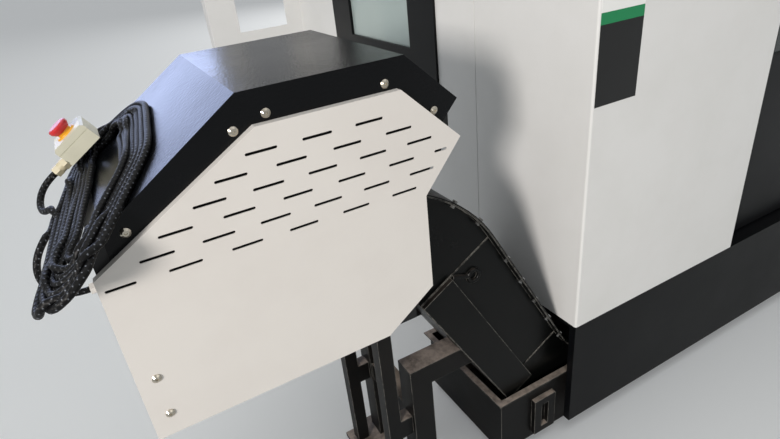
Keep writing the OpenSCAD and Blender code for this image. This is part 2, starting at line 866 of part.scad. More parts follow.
module changer_beam() {
    x = mid_x - column_w / 2;
    block([beam_left, beam_y, beam_low], [beam_right, beam_y + 60, beam_high]);
    block([x - 80, beam_y + 59, beam_low], [x, column_y + 200, beam_high]);
    for (z = [beam_low + 15, beam_high - 15 - carriage_rail])
        block([beam_left + 10, beam_y - carriage_rail, z], [beam_right - 10, beam_y, z + carriage_rail]);
}

module changer_carriage() {
    color("gainsboro") place() difference() {
        union() {
            block([carriage_x - 90, beam_y - 70, beam_low - 10],
                  [carriage_x + 90, beam_y - clear, beam_high + 10]);
            block([carriage_x - 60, spindle_y, beam_low - 40], [carriage_x + 60, beam_y - 60, beam_low + 10]);
            rod_z([carriage_x, spindle_y, cover_disc_z + 30], hub_d, beam_low - cover_disc_z - 20);
            rod_z([carriage_x, spindle_y, cover_disc_z], 410, 31);
        }
        for (z = [beam_low + 15, beam_high - 15 - carriage_rail])
            block([carriage_x - 91, beam_y - carriage_rail - clear, z - clear],
                  [carriage_x + 91, beam_y + 1, z + carriage_rail + clear]);
        rod_z([carriage_x, spindle_y, cover_disc_z - 1], 60 + 2 * bearing_gap, 90);
    }
}

module changer_disc() {
    color("silver") place() translate([carriage_x, spindle_y, 0]) difference() {
        union() {
            rod_z([0, 0, disc_z], pocket_circle + 34, disc_t);
            rod_z([0, 0, disc_z], 60, 95);
            rod_z([0, 0, disc_z - 30], 130, 31);
        }
        for (i = [0 : pocket_n - 1])
            rotate([0, 0, i * 360 / pocket_n]) translate([pocket_circle / 2, 0, disc_z - 1]) {
                cylinder(d = pocket_d, h = disc_t + 2, $fn = smooth);
                translate([0, -pocket_d * 0.42, 0]) cube([40, pocket_d * 0.84, disc_t + 2]);
            }
    }
}

// Operator's panel on a post that turns at the end of its arm
post_x = machine_w - 110;
post_d = 42;
arm_z = panel_z + panel_h + 40;
panel_x0 = post_x - 30 - panel_w;
panel_x1 = post_x - 30;
panel_front = arm_y - panel_d / 2;

module panel_arm() {
    color("gainsboro") place() difference() {
        union() {
            block([post_x - 45, -10, arm_z - 60], [post_x + 45, 0, arm_z + 90]);
            block([post_x - 32, arm_y, arm_z], [post_x + 32, -9, arm_z + 56]);
            rod_z([post_x, arm_y, arm_z], 64, 56);
        }
        rod_z([post_x, arm_y, arm_z - 1], post_d + 2 * bearing_gap, 40);
    }
}

screen_x = panel_x0 + 70;
screen_w = 300;
screen_h = 230;
screen_z = panel_z + panel_h - 70 - screen_h;
button_hole = 22;
panel_stop_at = [panel_x0 + 75, panel_z + 80];
panel_knob_at = [panel_x0 + 220, panel_z + 80];

module panel_housing() {
    color("gainsboro") place() difference() {
        union() {
            block([panel_x0, panel_front, panel_z], [panel_x1, arm_y + panel_d / 2, panel_z + panel_h]);
            block([panel_x1 - 2, arm_y - 24, panel_z + panel_h - 120],
                  [post_x, arm_y + 24, panel_z + panel_h - 60]);
            rod_z([post_x, arm_y, panel_z + panel_h - 120], post_d, arm_z - panel_z - panel_h + 120 + 30);
            rod_z([post_x, arm_y, arm_z - 12], post_d + 14, 12 - clear);
        }
        block([screen_x - clear, panel_front - 1, screen_z - clear],
              [screen_x + screen_w + clear, panel_front + 6, screen_z + screen_h + clear]);
        block([panel_x0 + 40, panel_front - 1, panel_z + 150],
              [panel_x1 - 40, panel_front + 2, screen_z - 40]);
        for (p = [panel_stop_at, panel_knob_at])
            rod_y([p.x, panel_front - 1, p.y], button_hole, 40);
    }
}

module panel_screen() {
    color("darkslateblue") place()
        block([screen_x, panel_front + 1, screen_z],
              [screen_x + screen_w, panel_front + 6, screen_z + screen_h]);
}

// Mushroom button drawn along Z from its seat, with its stem below
// Its hollow skirt comes down around the collar's neck
skirt_z = stop_travel + 0.4;
skirt_r = button_hole / 2 + 3;

module mushroom(d, stem_d, rise) {
    rotate_extrude($fn = smooth) polygon([
        [0, -24], [stem_d / 2, -24], [stem_d / 2, skirt_z + 5], [skirt_r, skirt_z + 5],
        [skirt_r, skirt_z], [skirt_r + 1.5, skirt_z], [d * 0.47, rise * 0.5], [d / 2, rise * 0.62],
        [d / 2, rise * 0.84], [d * 0.46, rise * 0.95], [d * 0.4, rise], [0, rise],
    ]);
}

module panel_stop() {
    color("red") place() translate([panel_stop_at.x, panel_front, panel_stop_at.y])
        rotate([90, 0, 0]) mushroom(stop_d, button_hole - 1, stop_rise);
}

module panel_knob() {
    color("black") place()
        translate([panel_knob_at.x, panel_front, panel_knob_at.y]) rotate([90, 0, 0]) {
            translate([0, 0, -24]) cylinder(d = button_hole - 1, h = 25, $fn = fine);
            translate([0, 0, clear]) cylinder(d = 38, h = 6, $fn = smooth);
            difference() {
                translate([0, 0, 6]) cylinder(d = 34, h = 16, $fn = smooth);
                translate([6, -20, 9]) cube([20, 40, 20]);
                translate([-26, -20, 9]) cube([20, 40, 20]);
            }
        }
}

// Electrical cabinet behind the rear wall, its door at the rear
cabinet_x = mid_x - cabinet_w / 2;
cabinet_back = machine_d + cabinet_d;
cabinet_right = cabinet_x + cabinet_w;
cabinet_top = cabinet_z + cabinet_h;
hinge_out = 7;

module cabinet() {
    color("white") place() difference() {
        block([cabinet_x, machine_d, cabinet_z], [cabinet_right, cabinet_back, cabinet_top]);
        block([cabinet_x + sheet_t, machine_d + sheet_t, cabinet_z + sheet_t],
              [cabinet_right - sheet_t, cabinet_back - 18, cabinet_top - sheet_t]);
        block([cabinet_x + 24, cabinet_back - 19, cabinet_z + 24],
              [cabinet_right - 24, cabinet_back + 1, cabinet_top - 24]);
    }
}

module cabinet_door() {
    color("white") place() {
        block([cabinet_x, cabinet_back + 0.5, cabinet_z],
              [cabinet_right, cabinet_back + 3, cabinet_top]);
        for (x = [cabinet_x + 30, cabinet_right - 34])
            block([x, cabinet_back - 12, cabinet_z + 40], [x + 4, cabinet_back + 1, cabinet_top - 40]);
        for (z = [cabinet_z + 30, cabinet_top - 34])
            block([cabinet_x + 30, cabinet_back - 12, z], [cabinet_right - 30, cabinet_back + 1, z + 4]);
        block([cabinet_right - 90, cabinet_back + 2, cabinet_z + 600],
              [cabinet_right - 60, cabinet_back + 22, cabinet_z + 780]);
        for (z = [cabinet_z + 150, cabinet_top - 250]) {
            rod_z([cabinet_x - hinge_out, cabinet_back + 4, z], 12, 100);
            block([cabinet_x - hinge_out, cabinet_back + 0.5, z], [cabinet_x + 1, cabinet_back + 3, z + 100]);
        }
    }
}

// The conveyor's run: level in the tank, up the incline, level in the head.
// A strip of it lies between two offsets from the belt's middle line, above being positive.
half = duct_h / 2;
low_centre = [low_bend_x, trough_z + half + low_bend_r];
climb_n = [sin(incline), cos(incline)];
climb_up = [-cos(incline), sin(incline)];
face_c = low_centre * climb_n - low_bend_r;
top_centre_z = head_z + half - top_bend_r;
top_centre = [(face_c - top_bend_r - top_centre_z * climb_n.y) / climb_n.x, top_centre_z];
climb_l = norm(top_centre + top_bend_r * climb_n - (low_centre - low_bend_r * climb_n));

// Points of an arc, and the line that runs at one offset along the whole conveyor
turn_steps = 15;
function arc(c, r, a0, a1) = [
    for (i = [0 : turn_steps])
        let (a = a0 + (a1 - a0) * i / turn_steps) c + r * [cos(a), sin(a)]
];
function line_at(r, tail, head) = concat(
    [[tail, trough_z + r]],
    arc(low_centre, low_bend_r + half - r, 270, 270 - incline),
    arc(top_centre, top_bend_r - half + r, 90 - incline, 90),
    [[head, head_z + r]]
);
function backwards(p) = [for (i = [len(p) - 1 : -1 : 0]) p[i]];

// Puts a piece on the incline: X runs down it, Z is the offset, s is the way up from its foot
module on_climb(s) {
    p = low_centre - (low_bend_r + half) * climb_n + s * climb_up;
    translate([p.x, 0, p.y]) rotate([0, incline, 0]) children();
}

module climb_block(s0, s1, low, high, y, w) {
    on_climb(s0) translate([s0 - s1, y, low]) cube([s1 - s0, w, high - low]);
}

module run(low, high, y, w, tail, head) {
    plate_y(y, w) polygon(concat(line_at(high, tail, head), backwards(line_at(low, tail, head))));
}

// Trough: floor, walls, bolting flanges, joint flange, stiffener and lifting loops
tail_x = machine_w - 160;
tail_centre = [tail_x - 110, trough_z];
drive_centre = [cover_x + 143, head_z];
housing_x = cover_x - 25;
outlet_x0 = housing_x + 18;
outlet_x1 = drive_centre.x + 70;
far_y = duct_y + duct_w;
shaft_d = 36;
joint_w = 2;
joint_t = 3;
joint_s = climb_l - 10;
stiffener_t = 14;
eye_r = 15;
eye_d = 10;
eye_l = 48;
eye_turn = 43;
eye_s = climb_l - 16;

// Lifting eye: a bar that ends in a ring, welded flat on the trough's side
module lifting_eye() {
    rotate([0, -eye_turn, 0]) {
        rod_x([0, 0, 0], eye_d, eye_l);
        translate([eye_l + eye_r, 0, 0]) rotate([90, 0, 0]) rotate_extrude($fn = smooth)
            translate([eye_r, 0]) circle(d = eye_d, $fn = fine);
    }
}

module conveyor_trough() {
    color("black") place() difference() {
        union() {
            run(-half, -half + duct_t, duct_y, duct_w, tail_x, outlet_x1);
            for (y = [duct_y, far_y - duct_t])
                run(-half, half, y, duct_t, tail_x, outlet_x0);
            for (y = [duct_y - duct_flange, far_y])
                run(half - duct_t, half, y, duct_flange, tail_x, outlet_x0);
            block([tail_x - duct_t, duct_y, trough_z - half], [tail_x, far_y, trough_z + half]);
            for (x = [low_bend_x + 40, tail_x / 2, tail_x - 60])
                block([x, duct_y, tank_z + tank_t], [x + 40, far_y, trough_z - half + 1]);
            for (s = [24, joint_s])
                for (y = [duct_y - joint_w, far_y - 1])
                    climb_block(s - joint_t, s, 4 - half, half - 4, y, joint_w + 1);
            for (y = [duct_y - stiffener_t, far_y - 1])
                climb_block(-20, climb_l - 12, 1 - half, -20, y, stiffener_t + 1);
            for (y = [duct_y - eye_d / 2 + 1, far_y + eye_d / 2 - 1])
                on_climb(eye_s) translate([0, y, -16]) lifting_eye();
        }
        for (c = [tail_centre, drive_centre])
            rod_y([c.x, duct_y - 1, c.y], shaft_d + 2 * bearing_gap, duct_w + 2);
    }
}

trough_cover_t = 3;
trough_cover_x = 60;

module trough_cover() {
    y = duct_y - duct_flange;
    w = duct_w + 2 * duct_flange;
    color("black") place()
        run(half, half + trough_cover_t, y, w, low_bend_x + trough_cover_x, top_centre.x - 2);
}

bolt_d = 12;
bolt_h = 5;
nut_h = 6;
bolt_turn = duct_bolt_pitch / (top_bend_r + trough_cover_t) * 180 / PI;

module bolt(lift) {
    translate([0, 0, trough_cover_t + lift]) cylinder(d = bolt_d, h = bolt_h, $fn = 6);
    translate([0, 0, -duct_t - nut_h - lift]) cylinder(d = bolt_d - 1, h = nut_h, $fn = 6);
}

module trough_bolts() {
    color("dimgray") place() for (y = [duct_y - duct_flange / 2, far_y + duct_flange / 2]) {
        for (s = [12 : duct_bolt_pitch : climb_l - 10])
            on_climb(s) translate([0, y, half]) bolt(0);
        for (a = [bolt_turn * 0.6 : bolt_turn : incline - 8])
            translate([top_centre.x, y, top_centre.y]) rotate([0, incline - a, 0])
                translate([0, 0, top_bend_r]) bolt(clear);
    }
}

// Conveyor head: the cover's outline, seen from the front
left_slope = atan(cover_left_drop / cover_left_run);
ridge_l = [cover_x + cover_left_run, cover_z];
ridge_r = ridge_l + [cover_flat, 0];
right_run = cover_l - cover_left_run - cover_flat;
right_slope = 42.8;
right_drop = right_run * tan(right_slope);
cover_low_l = [cover_x, cover_z - cover_left_drop];
cover_low_r = ridge_r + [right_run, -right_drop];
cover_rear = cover_y + cover_w;

// The cover's facets moved inwards by d, from the right end to the left
function facets(d) = [
    cover_low_r - d * [sin(right_slope), cos(right_slope)],
    [ridge_r.x - d * tan(right_slope / 2), cover_z - d],
    [ridge_l.x + d * tan(left_slope / 2), cover_z - d],
    cover_low_l - [0, d / cos(left_slope)],
];

module head_cover() {
    color("black") place() {
        plate_y(cover_y, cover_w) polygon(concat(facets(0), backwards(facets(cover_t))));
        for (y = [cover_y, cover_rear - cover_t])
            plate_y(y, cover_t) polygon(concat(facets(0), backwards(facets(cover_flange))));
    }
}

// Housing: two walls, floor with the chip outlet, chute, ends and the motor's shelf
wall_near = cover_y + cover_t;
wall_far = cover_rear - cover_t;
wall_inset = 12;
housing_z = guard_bottom + 2;
housing_right = -478;
exit_y = 160;
exit_z = 900;
tab_x = -372;
tab_z = 1046;
tab_foot = 930;
shelf_z = head_z + half;
housing_edge = facets(wall_inset);
housing_left_z = housing_edge[3].y - (cover_x - housing_x) * tan(left_slope);

module housing_wall() {
    polygon([
        [housing_x, housing_z], [housing_right, housing_z], [housing_right, tab_foot], [tab_x, tab_z],
        [tab_x, housing_edge[1].y - (tab_x - housing_edge[1].x) * tan(right_slope)],
        housing_edge[1], housing_edge[2], [housing_x, housing_left_z],
    ]);
}

module head_housing() {
    t = casing_t;
    outer0 = [outlet_x0, duct_y];
    outer1 = [outlet_x1, far_y];
    color("white") place() {
        plate_y(wall_near, t) housing_wall();
        plate_y(wall_far - t, t) housing_wall();
        difference() {
            block([housing_x, wall_near, housing_z], [housing_right, wall_far, housing_z + t]);
            block([outer0.x + t, outer0.y + t, housing_z - 1],
                  [outer1.x - t, outer1.y - t, housing_z + t + 1]);
        }
        difference() {
            block([outer0.x, outer0.y, housing_z], [outer1.x, outer1.y, head_z - half]);
            block([outer0.x + t, outer0.y + t, housing_z - 1], [outer1.x - t, outer1.y - t, head_z]);
        }
        block([housing_x, wall_near, housing_z], [housing_x + t, wall_far, housing_left_z]);
        difference() {
            block([housing_x, wall_near, shelf_z], [top_centre.x - 6, wall_far, shelf_z + t]);
            block([drive_centre.x - 75, chain_y - 5, shelf_z - 1],
                  [motor_shaft.x + 60, chain_y + 17, shelf_z + t + 1]);
        }
        difference() {
            block([housing_right - t, wall_near, housing_z], [housing_right, wall_far, shelf_z]);
            block([housing_right - t - 1, duct_y - duct_flange - 1, housing_z + 8],
                  [housing_right + 1, far_y + duct_flange + 1, shelf_z + 1]);
        }
        translate([housing_x, exit_y, exit_z]) rotate([0, -90, 0]) gland();
        plate_y(wall_near, wall_far - wall_near) polygon([
            [housing_x, housing_left_z], [housing_x, housing_left_z - t],
            [housing_x + 70, housing_left_z - t + 70 * tan(left_slope)],
            [housing_x + 70, housing_left_z + 70 * tan(left_slope)],
        ]);
    }
}

// Guard pan with rows of slots that have round ends
guard_outline = [
    [cover_x + 438, guard_bottom], [cover_x + 551, guard_bottom + 79], [cover_x + 551, guard_bottom + 289],
    [cover_x + 636, guard_bottom + 389], [cover_x + 516, guard_top], [cover_x + 254, guard_top],
    [guard_left, guard_top - 169], [guard_left, guard_bottom],
];
slot_top = guard_top - 40;
slot_mid = cover_x + 352.6;
guard_screws = [[cover_x + 1, guard_bottom + 128], [cover_x + 1, guard_bottom + 47]];
cover_screw_at = [
    [cover_x + 33, cover_z - 167], [cover_x + 223, cover_z - 57], [cover_x + 279, cover_z - 41],
    [cover_x + 493, cover_z - 41], [cover_x + 589, cover_z - 111],
];

module slot(l) {
    square([l - slot_w, slot_w], center = true);
    for (x = [-1, 1])
        translate([x * (l - slot_w) / 2, 0]) circle(d = slot_w, $fn = fine);
}

// Each row's places are counted in steps of its pitch from the guard's middle slot
module slots() {
    rows_a = [[0, [-1, 0, 1]], [2, [-2, -1, 0, 1, 2]], [4, [-3, -2, -1, 0, 1, 2]]];
    left_b = [-2.5, -1.5, -0.5, 0.5, 1.5];
    rows_b = [[1, [-1.5, -0.5, 0.5, 1.5]], [3, left_b], [5, left_b]];
    for (row = rows_a)
        for (i = row[1])
            translate([slot_mid + i * slot_pitch_a, slot_top - row[0] * slot_row]) slot(slot_l);
    for (row = rows_b)
        for (i = row[1])
            translate([slot_mid + i * slot_pitch_b, slot_top - row[0] * slot_row]) slot(slot_l);
    translate([slot_mid - 3.47 * slot_pitch_b, slot_top - 5 * slot_row]) slot(slot_l * 0.86);
    translate([slot_mid + 2.34 * slot_pitch_b, slot_top - 3 * slot_row]) slot(slot_l * 0.52);
}

module guard_panel() {
    color("white") place() {
        difference() {
            plate_y(guard_y, guard_d) polygon(guard_outline);
            plate_y(guard_y + guard_t, guard_d) polygon(inset(guard_outline, guard_t));
            plate_y(guard_y - 1, guard_t + 2) slots();
        }
        for (p = guard_screws)
            rod_y([p.x, guard_y + guard_t - 0.5, p.y], 16, wall_near - guard_y - guard_t + 0.5);
    }
}

// Button-head screws on the guard and on the cover's flanges
module button_head() {
    difference() {
        union() {
            cylinder(d = cover_screw_d * 2, h = 2, $fn = smooth);
            translate([0, 0, 2])
                cylinder(d1 = cover_screw_d * 2, d2 = cover_screw_d * 1.2, h = 2.6, $fn = smooth);
        }
        translate([0, 0, 2.2]) cylinder(d = cover_screw_d * 0.7, h = 4, $fn = 6);
    }
}

module cover_screws() {
    color("silver") place() {
        for (p = guard_screws)
            translate([p.x, guard_y, p.y]) rotate([90, 0, 0]) button_head();
        for (p = cover_screw_at) {
            translate([p.x, cover_y, p.y]) rotate([90, 0, 0]) button_head();
            translate([p.x, cover_rear, p.y]) rotate([-90, 0, 0]) button_head();
        }
    }
}

// Drive: gearmotor on the shelf, chain, sprockets and shafts
motor_shaft = [drive_centre.x + 105, shelf_z + casing_t + 72];
gear_w = 120;
chain_y = 24;
chain_w = 12;
sprocket_gap = 0.4;
drive_sprocket_r = 56;
motor_sprocket_r = 36;
gear_y = 90;
stub_d = 28;

module toothed(r, teeth, t) {
    rotate([90, 0, 0]) linear_extrude(t) {
        circle(r = r - 7, $fn = smooth);
        for (i = [0 : teeth - 1])
            rotate(i * 360 / teeth) polygon([[r - 9, -6], [r, -2.4], [r, 2.4], [r - 9, 6]]);
    }
}

module gearmotor() {
    z = motor_shaft.y;
    color("steelblue") place() difference() {
        union() {
            block([motor_shaft.x - gear_w / 2, gear_y, shelf_z + casing_t],
                  [motor_shaft.x + gear_w / 2, gear_y + 110, z + 58]);
            block([motor_shaft.x - gear_w / 2 - 20, gear_y + 10, shelf_z + casing_t],
                  [motor_shaft.x + gear_w / 2 + 20, gear_y + 100, shelf_z + casing_t + 14]);
            rod_y([motor_shaft.x, gear_y + 109, z], 140, 14);
            rod_y([motor_shaft.x, gear_y + 122, z], 128, 140);
            rod_y([motor_shaft.x, gear_y + 262, z], 134, 40);
            block([motor_shaft.x - 40, gear_y + 150, z + 50], [motor_shaft.x + 40, gear_y + 230, z + 92]);
            for (a = [0 : 20 : 340])
                translate([motor_shaft.x, gear_y + 126, z]) rotate([0, a, 0])
                    translate([-1.5, 0, 60]) cube([3, 132, 8]);
        }
        rod_y([motor_shaft.x, gear_y - 1, z], stub_d + 2 * bearing_gap, 80);
    }
}

module motor_sprocket() {
    color("silver") place() {
        rod_y([motor_shaft.x, chain_y - 4, motor_shaft.y], stub_d, gear_y + 70 - chain_y);
        translate([motor_shaft.x, chain_y + chain_w - 2, motor_shaft.y])
            toothed(motor_sprocket_r, 12, chain_w - 4);
    }
}

module chain_band(extra) {
    hull() {
        translate(drive_centre) circle(r = drive_sprocket_r + extra, $fn = 32);
        translate(motor_shaft) circle(r = motor_sprocket_r + extra, $fn = 32);
    }
}

module drive_chain() {
    color("dimgray") place() plate_y(chain_y, chain_w) difference() {
        chain_band(sprocket_gap + 9);
        chain_band(sprocket_gap);
    }
}

belt_in = belt_half - belt_t / 2;
belt_out = belt_half + belt_t / 2;
belt_side = 8;
belt_y = duct_y + duct_t + belt_side;
belt_w = duct_w - 2 * (duct_t + belt_side);
belt_sprocket_y = [belt_y + 50, belt_y + belt_w - 50];
cleat_h = 34;
cleat_t = 5;

module drive_shaft() {
    color("silver") place() {
        rod_y([drive_centre.x, chain_y - 6, drive_centre.y], shaft_d, far_y + 20 - chain_y + 6);
        translate([drive_centre.x, chain_y + chain_w - 2, drive_centre.y])
            toothed(drive_sprocket_r, 18, chain_w - 4);
        for (y = belt_sprocket_y)
            translate([drive_centre.x, y + 6, drive_centre.y]) toothed(belt_in - 1, 10, 12);
    }
}

module tail_shaft() {
    color("silver") place() {
        rod_y([tail_centre.x, duct_y - 10, tail_centre.y], shaft_d, duct_w + 20);
        for (y = belt_sprocket_y)
            translate([tail_centre.x, y + 6, tail_centre.y]) toothed(belt_in - 1, 10, 12);
    }
}

function belt_loop(r) = concat(
    line_at(r, tail_centre.x, drive_centre.x), arc(drive_centre, r, 90, 270),
    backwards(line_at(-r, tail_centre.x, drive_centre.x)), arc(tail_centre, r, -90, 90)
);

module conveyor_belt() {
    color("gray") place() {
        plate_y(belt_y, belt_w) difference() {
            polygon(belt_loop(belt_out));
            polygon(belt_loop(belt_in));
        }
        for (x = [low_bend_x + 90 : cleat_pitch : tail_centre.x])
            for (z = [trough_z + belt_out - 1, trough_z - belt_out - cleat_h])
                block([x, belt_y, z], [x + cleat_t, belt_y + belt_w, z + cleat_h + 1]);
        for (s = [60 : cleat_pitch : climb_l - 40])
            for (low = [belt_out - 1, -belt_out - cleat_h])
                climb_block(s, s + cleat_t, low, low + cleat_h + 1, belt_y, belt_w);
    }
}

// Stand under the incline and under the head
leg_w = 60;
leg_x = -482;
bracket_top = 454;
bracket_low = bracket_top - leg_w;
post_w = 36;
post_at = -551;
tie_z = 240;
leg_y = [duct_y + 2, far_y - leg_w - 2];

function under_x(z) = (face_c - duct_h - climb_n.y * z) / climb_n.x;

module conveyor_stand() {
    color("black") place() {
        for (y = leg_y) {
            plate_y(y, leg_w) polygon([
                [leg_x, bracket_low], [under_x(bracket_low), bracket_low],
                [under_x(bracket_top), bracket_top], [leg_x, bracket_top],
            ]);
            block([leg_x, y, 10], [leg_x + leg_w, y + leg_w, bracket_low + 1]);
            block([leg_x - 25, y - 25, 0], [leg_x + leg_w + 25, y + leg_w + 25, 12]);
            block([post_at, y + 12, 10], [post_at + post_w, y + 12 + post_w, housing_z - 6]);
            block([post_at - 20, y - 8, housing_z - 8], [post_at + post_w + 20, y + 32 + post_w, housing_z]);
            block([post_at - 20, y - 8, 0], [post_at + post_w + 20, y + 32 + post_w, 12]);
            block([post_at + post_w - 1, y + 12, tie_z], [leg_x + 1, y + 12 + post_w, tie_z + leg_w]);
        }
        block([leg_x + 5, leg_y[0] + leg_w - 1, tie_z], [leg_x + leg_w - 5, leg_y[1] + 1, tie_z + leg_w]);
    }
}

// Coolant tank under the conveyor, with its rim, deck, feet and grab handle
tank_y0 = duct_y - tank_side;
tank_y1 = far_y + tank_side;
tank_x1 = machine_w + tank_right;
deck_x = machine_w + 12;
pump_at = [[machine_w + 100, tank_y0 + 100], [machine_w + 215, tank_y0 + 250]];
pump_d = 100;
handle_x = -113;
handle_w = 77;

module coolant_tank() {
    t = tank_t;
    color("black") place() difference() {
        union() {
            block([-tank_left, tank_y0, tank_z], [tank_x1, tank_y1, tank_h]);
            block([-tank_left - tank_rim, tank_y0 - tank_rim, tank_h - t],
                  [tank_x1 + tank_rim, tank_y1 + tank_rim, tank_h]);
            for (x = [-tank_left + 60, tank_x1 / 2, tank_x1 - 60])
                for (y = [tank_y0 + 40, tank_y1 - 40])
                    rod_z([x, y, 0], 60, tank_z + 1);
            difference() {
                block([handle_x, tank_y0 - tank_rim, 40], [handle_x + handle_w, tank_y0 + 1, 170]);
                block([handle_x + 26, tank_y0 - tank_rim - 1, 60],
                      [handle_x + handle_w - 26, tank_y0, 146]);
            }
        }
        block([-tank_left + t, tank_y0 + t, tank_z + t], [deck_x, tank_y1 - t, tank_h + 1]);
        block([deck_x - 1, tank_y0 + t, tank_z + t], [tank_x1 - t, tank_y1 - t, tank_h - t]);
        for (p = pump_at)
            rod_z([p.x, p.y, tank_h - t - 1], pump_d + 2 * clear, t + 2);
    }
}

module coolant_pumps() {
    color("steelblue") place() for (p = pump_at) {
        rod_z([p.x, p.y, tank_z + 30], pump_d, tank_h - tank_z - 30);
        rod_z([p.x, p.y, tank_h], pump_d + 40, 12);
        rod_z([p.x, p.y, tank_h + 11], pump_d + 16, 190);
        rod_z([p.x, p.y, tank_h + 200], pump_d + 24, 46);
        translate([p.x - 35, p.y - pump_d / 2 - 40, tank_h + 90]) cube([70, 50, 70]);
        rod_x([p.x, p.y + 20, tank_h + 40], 34, pump_d / 2 + 30);
    }
}

// The cover's left slope as a place: X runs up it from its lower end, Z stands off it
module on_slope() {
    translate([cover_low_l.x, 0, cover_low_l.y]) rotate([0, -left_slope, 0]) children();
}

// Stop station lying on the coiled cable
stop_at = [32, 345, coil_t];
stop_low = stop_at - [stop_w / 2, stop_w / 2, 0];
collar_h = 3;
gland_at = [stop_low.x, stop_at.y - 27, coil_t + 11];
stop_edge = 5;
gland_l = 30;

module stop_box() {
    color("ivory") place() on_slope() difference() {
        translate(stop_low) plate_y(0, stop_w) polygon([
            [0, 0], [stop_w, 0], [stop_w, stop_t - stop_edge], [stop_w - stop_edge, stop_t],
            [stop_edge, stop_t], [0, stop_t - stop_edge],
        ]);
        translate(stop_low + [-1, -1, stop_t * 0.64]) cube([stop_w + 2, 2, 1.2]);
        translate(stop_at + [0, 0, stop_t - 32]) cylinder(d = button_hole, h = 40, $fn = smooth);
    }
}

module stop_collar() {
    color("gold") place() on_slope() translate(stop_at + [0, 0, stop_t]) difference() {
        union() {
            cylinder(d1 = 41, d2 = 37, h = collar_h, $fn = smooth);
            cylinder(d = 2 * skirt_r - 1, h = collar_h + skirt_z + 0.5, $fn = smooth);
        }
        translate([0, 0, -1]) cylinder(d = button_hole, h = collar_h + skirt_z + 3, $fn = smooth);
    }
}

module stop_button() {
    color("red") place() on_slope() translate(stop_at + [0, 0, stop_t + collar_h])
        mushroom(stop_d, button_hole - 1, stop_rise);
}

// Cable gland along Z with its flange at the start
module gland() {
    cylinder(d = 24, h = 10, $fn = 6);
    translate([0, 0, 10]) cylinder(d = 20, h = 8, $fn = smooth);
    translate([0, 0, 18]) cylinder(d = 22, h = gland_l - 18, $fn = 6);
}

module cable_gland() {
    color("wheat") place() on_slope() translate(gland_at) rotate([0, -90, 0]) rotate([0, 0, 30]) gland();
}

// A tube through a list of points; side is a direction that the tube never runs along
sides = 10;

function along(p, i) = unit(p[min(i + 1, len(p) - 1)] - p[max(i - 1, 0)]);
function ring(p, i, side, r) =
    let (t = along(p, i), u = unit(cross(t, side)), v = cross(t, u))
    [for (k = [0 : sides - 1]) p[i] + r * (cos(k * 360 / sides) * u + sin(k * 360 / sides) * v)];

module tube(p, side, d) {
    n = len(p);
    points = [for (i = [0 : n - 1]) each ring(p, i, side, d / 2)];
    walls = [for (i = [0 : n - 2]) for (k = [0 : sides - 1])
        [i * sides + k, (i + 1) * sides + k, (i + 1) * sides + (k + 1) % sides, i * sides + (k + 1) % sides]];
    ends = [[for (k = [0 : sides - 1]) k], [for (k = [sides - 1 : -1 : 0]) (n - 1) * sides + k]];
    polyhedron(points, concat(walls, ends));
}

station_route = [
    [-34, 318, 37], [-48, 318, 37], [-62, 316, 36], [-76, 311, 33], [-87, 302, 28],
    [-93, 288, 23], [-94, 274, 19], [-89, 259, 18], [-79, 247, 18], [-68, 236, 18],
];
exit_route = [
    [-1048, 160, 900], [-1060, 160, 900], [-1074, 160, 902], [-1087, 160, 907], [-1098, 159, 916],
    [-1106, 158, 928], [-1110, 157, 942], [-1111, 156, 957], [-1108, 156, 972], [-1102, 158, 987],
    [-1093, 163, 1000], [-1082, 172, 1011], [-1071, 186, 1019], [-1064, 204, 1023],
];

module cable_tube() {
    color("black") place() {
        on_slope() tube(station_route, [0, 0, 1], cable_d);
        tube(exit_route, [0, 1, 0], cable_d);
    }
}

// The coiled cable: a flat ring with round ends, draped over the slope's lower corner
coil_outer = [[95, 333, 75], [30, 333, 75], [75, 130, 60], [-85, -65, 45]];
coil_inner = [[88, 326, 9], [48, 326, 9], [62, 160, 7], [-25, 30, 6]];

module coil_outline(rounds) {
    hull()
        for (c = rounds)
            translate([c.x, c.y]) circle(r = c.z, $fn = 32);
}

module cable_coil() {
    color("black") place() on_slope() linear_extrude(coil_t) difference() {
        coil_outline(coil_outer);
        coil_outline(coil_inner);
    }
}

bed();
feet();
base_skirt();
column();
fixed_rails();
y_screw();
z_screw();
axis_motors();
saddle();
saddle_rails();
x_screw();
table();
spindle_head();
spindle_motor();
spindle();
left_front_panel();
left_side_panel();
side_window_frame();
side_window_glass();
right_front_panel();
right_side_panel();
door_header();
left_door();
left_door_glass();
right_door();
right_door_glass();
roof();
rear_side_frame();
chip_trays();
changer_carriage();
changer_disc();
panel_arm();
panel_housing();
panel_screen();
panel_stop();
panel_knob();
cabinet();
cabinet_door();
coolant_tank();
coolant_pumps();
conveyor_trough();
trough_cover();
trough_bolts();
head_housing();
head_cover();
cover_screws();
guard_panel();
gearmotor();
motor_sprocket();
drive_chain();
drive_shaft();
tail_shaft();
conveyor_belt();
conveyor_stand();
stop_box();
stop_collar();
stop_button();
cable_gland();
cable_tube();
cable_coil();
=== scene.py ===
import math

import bmesh
import bpy
import numpy as np
from mathutils import Matrix, Vector


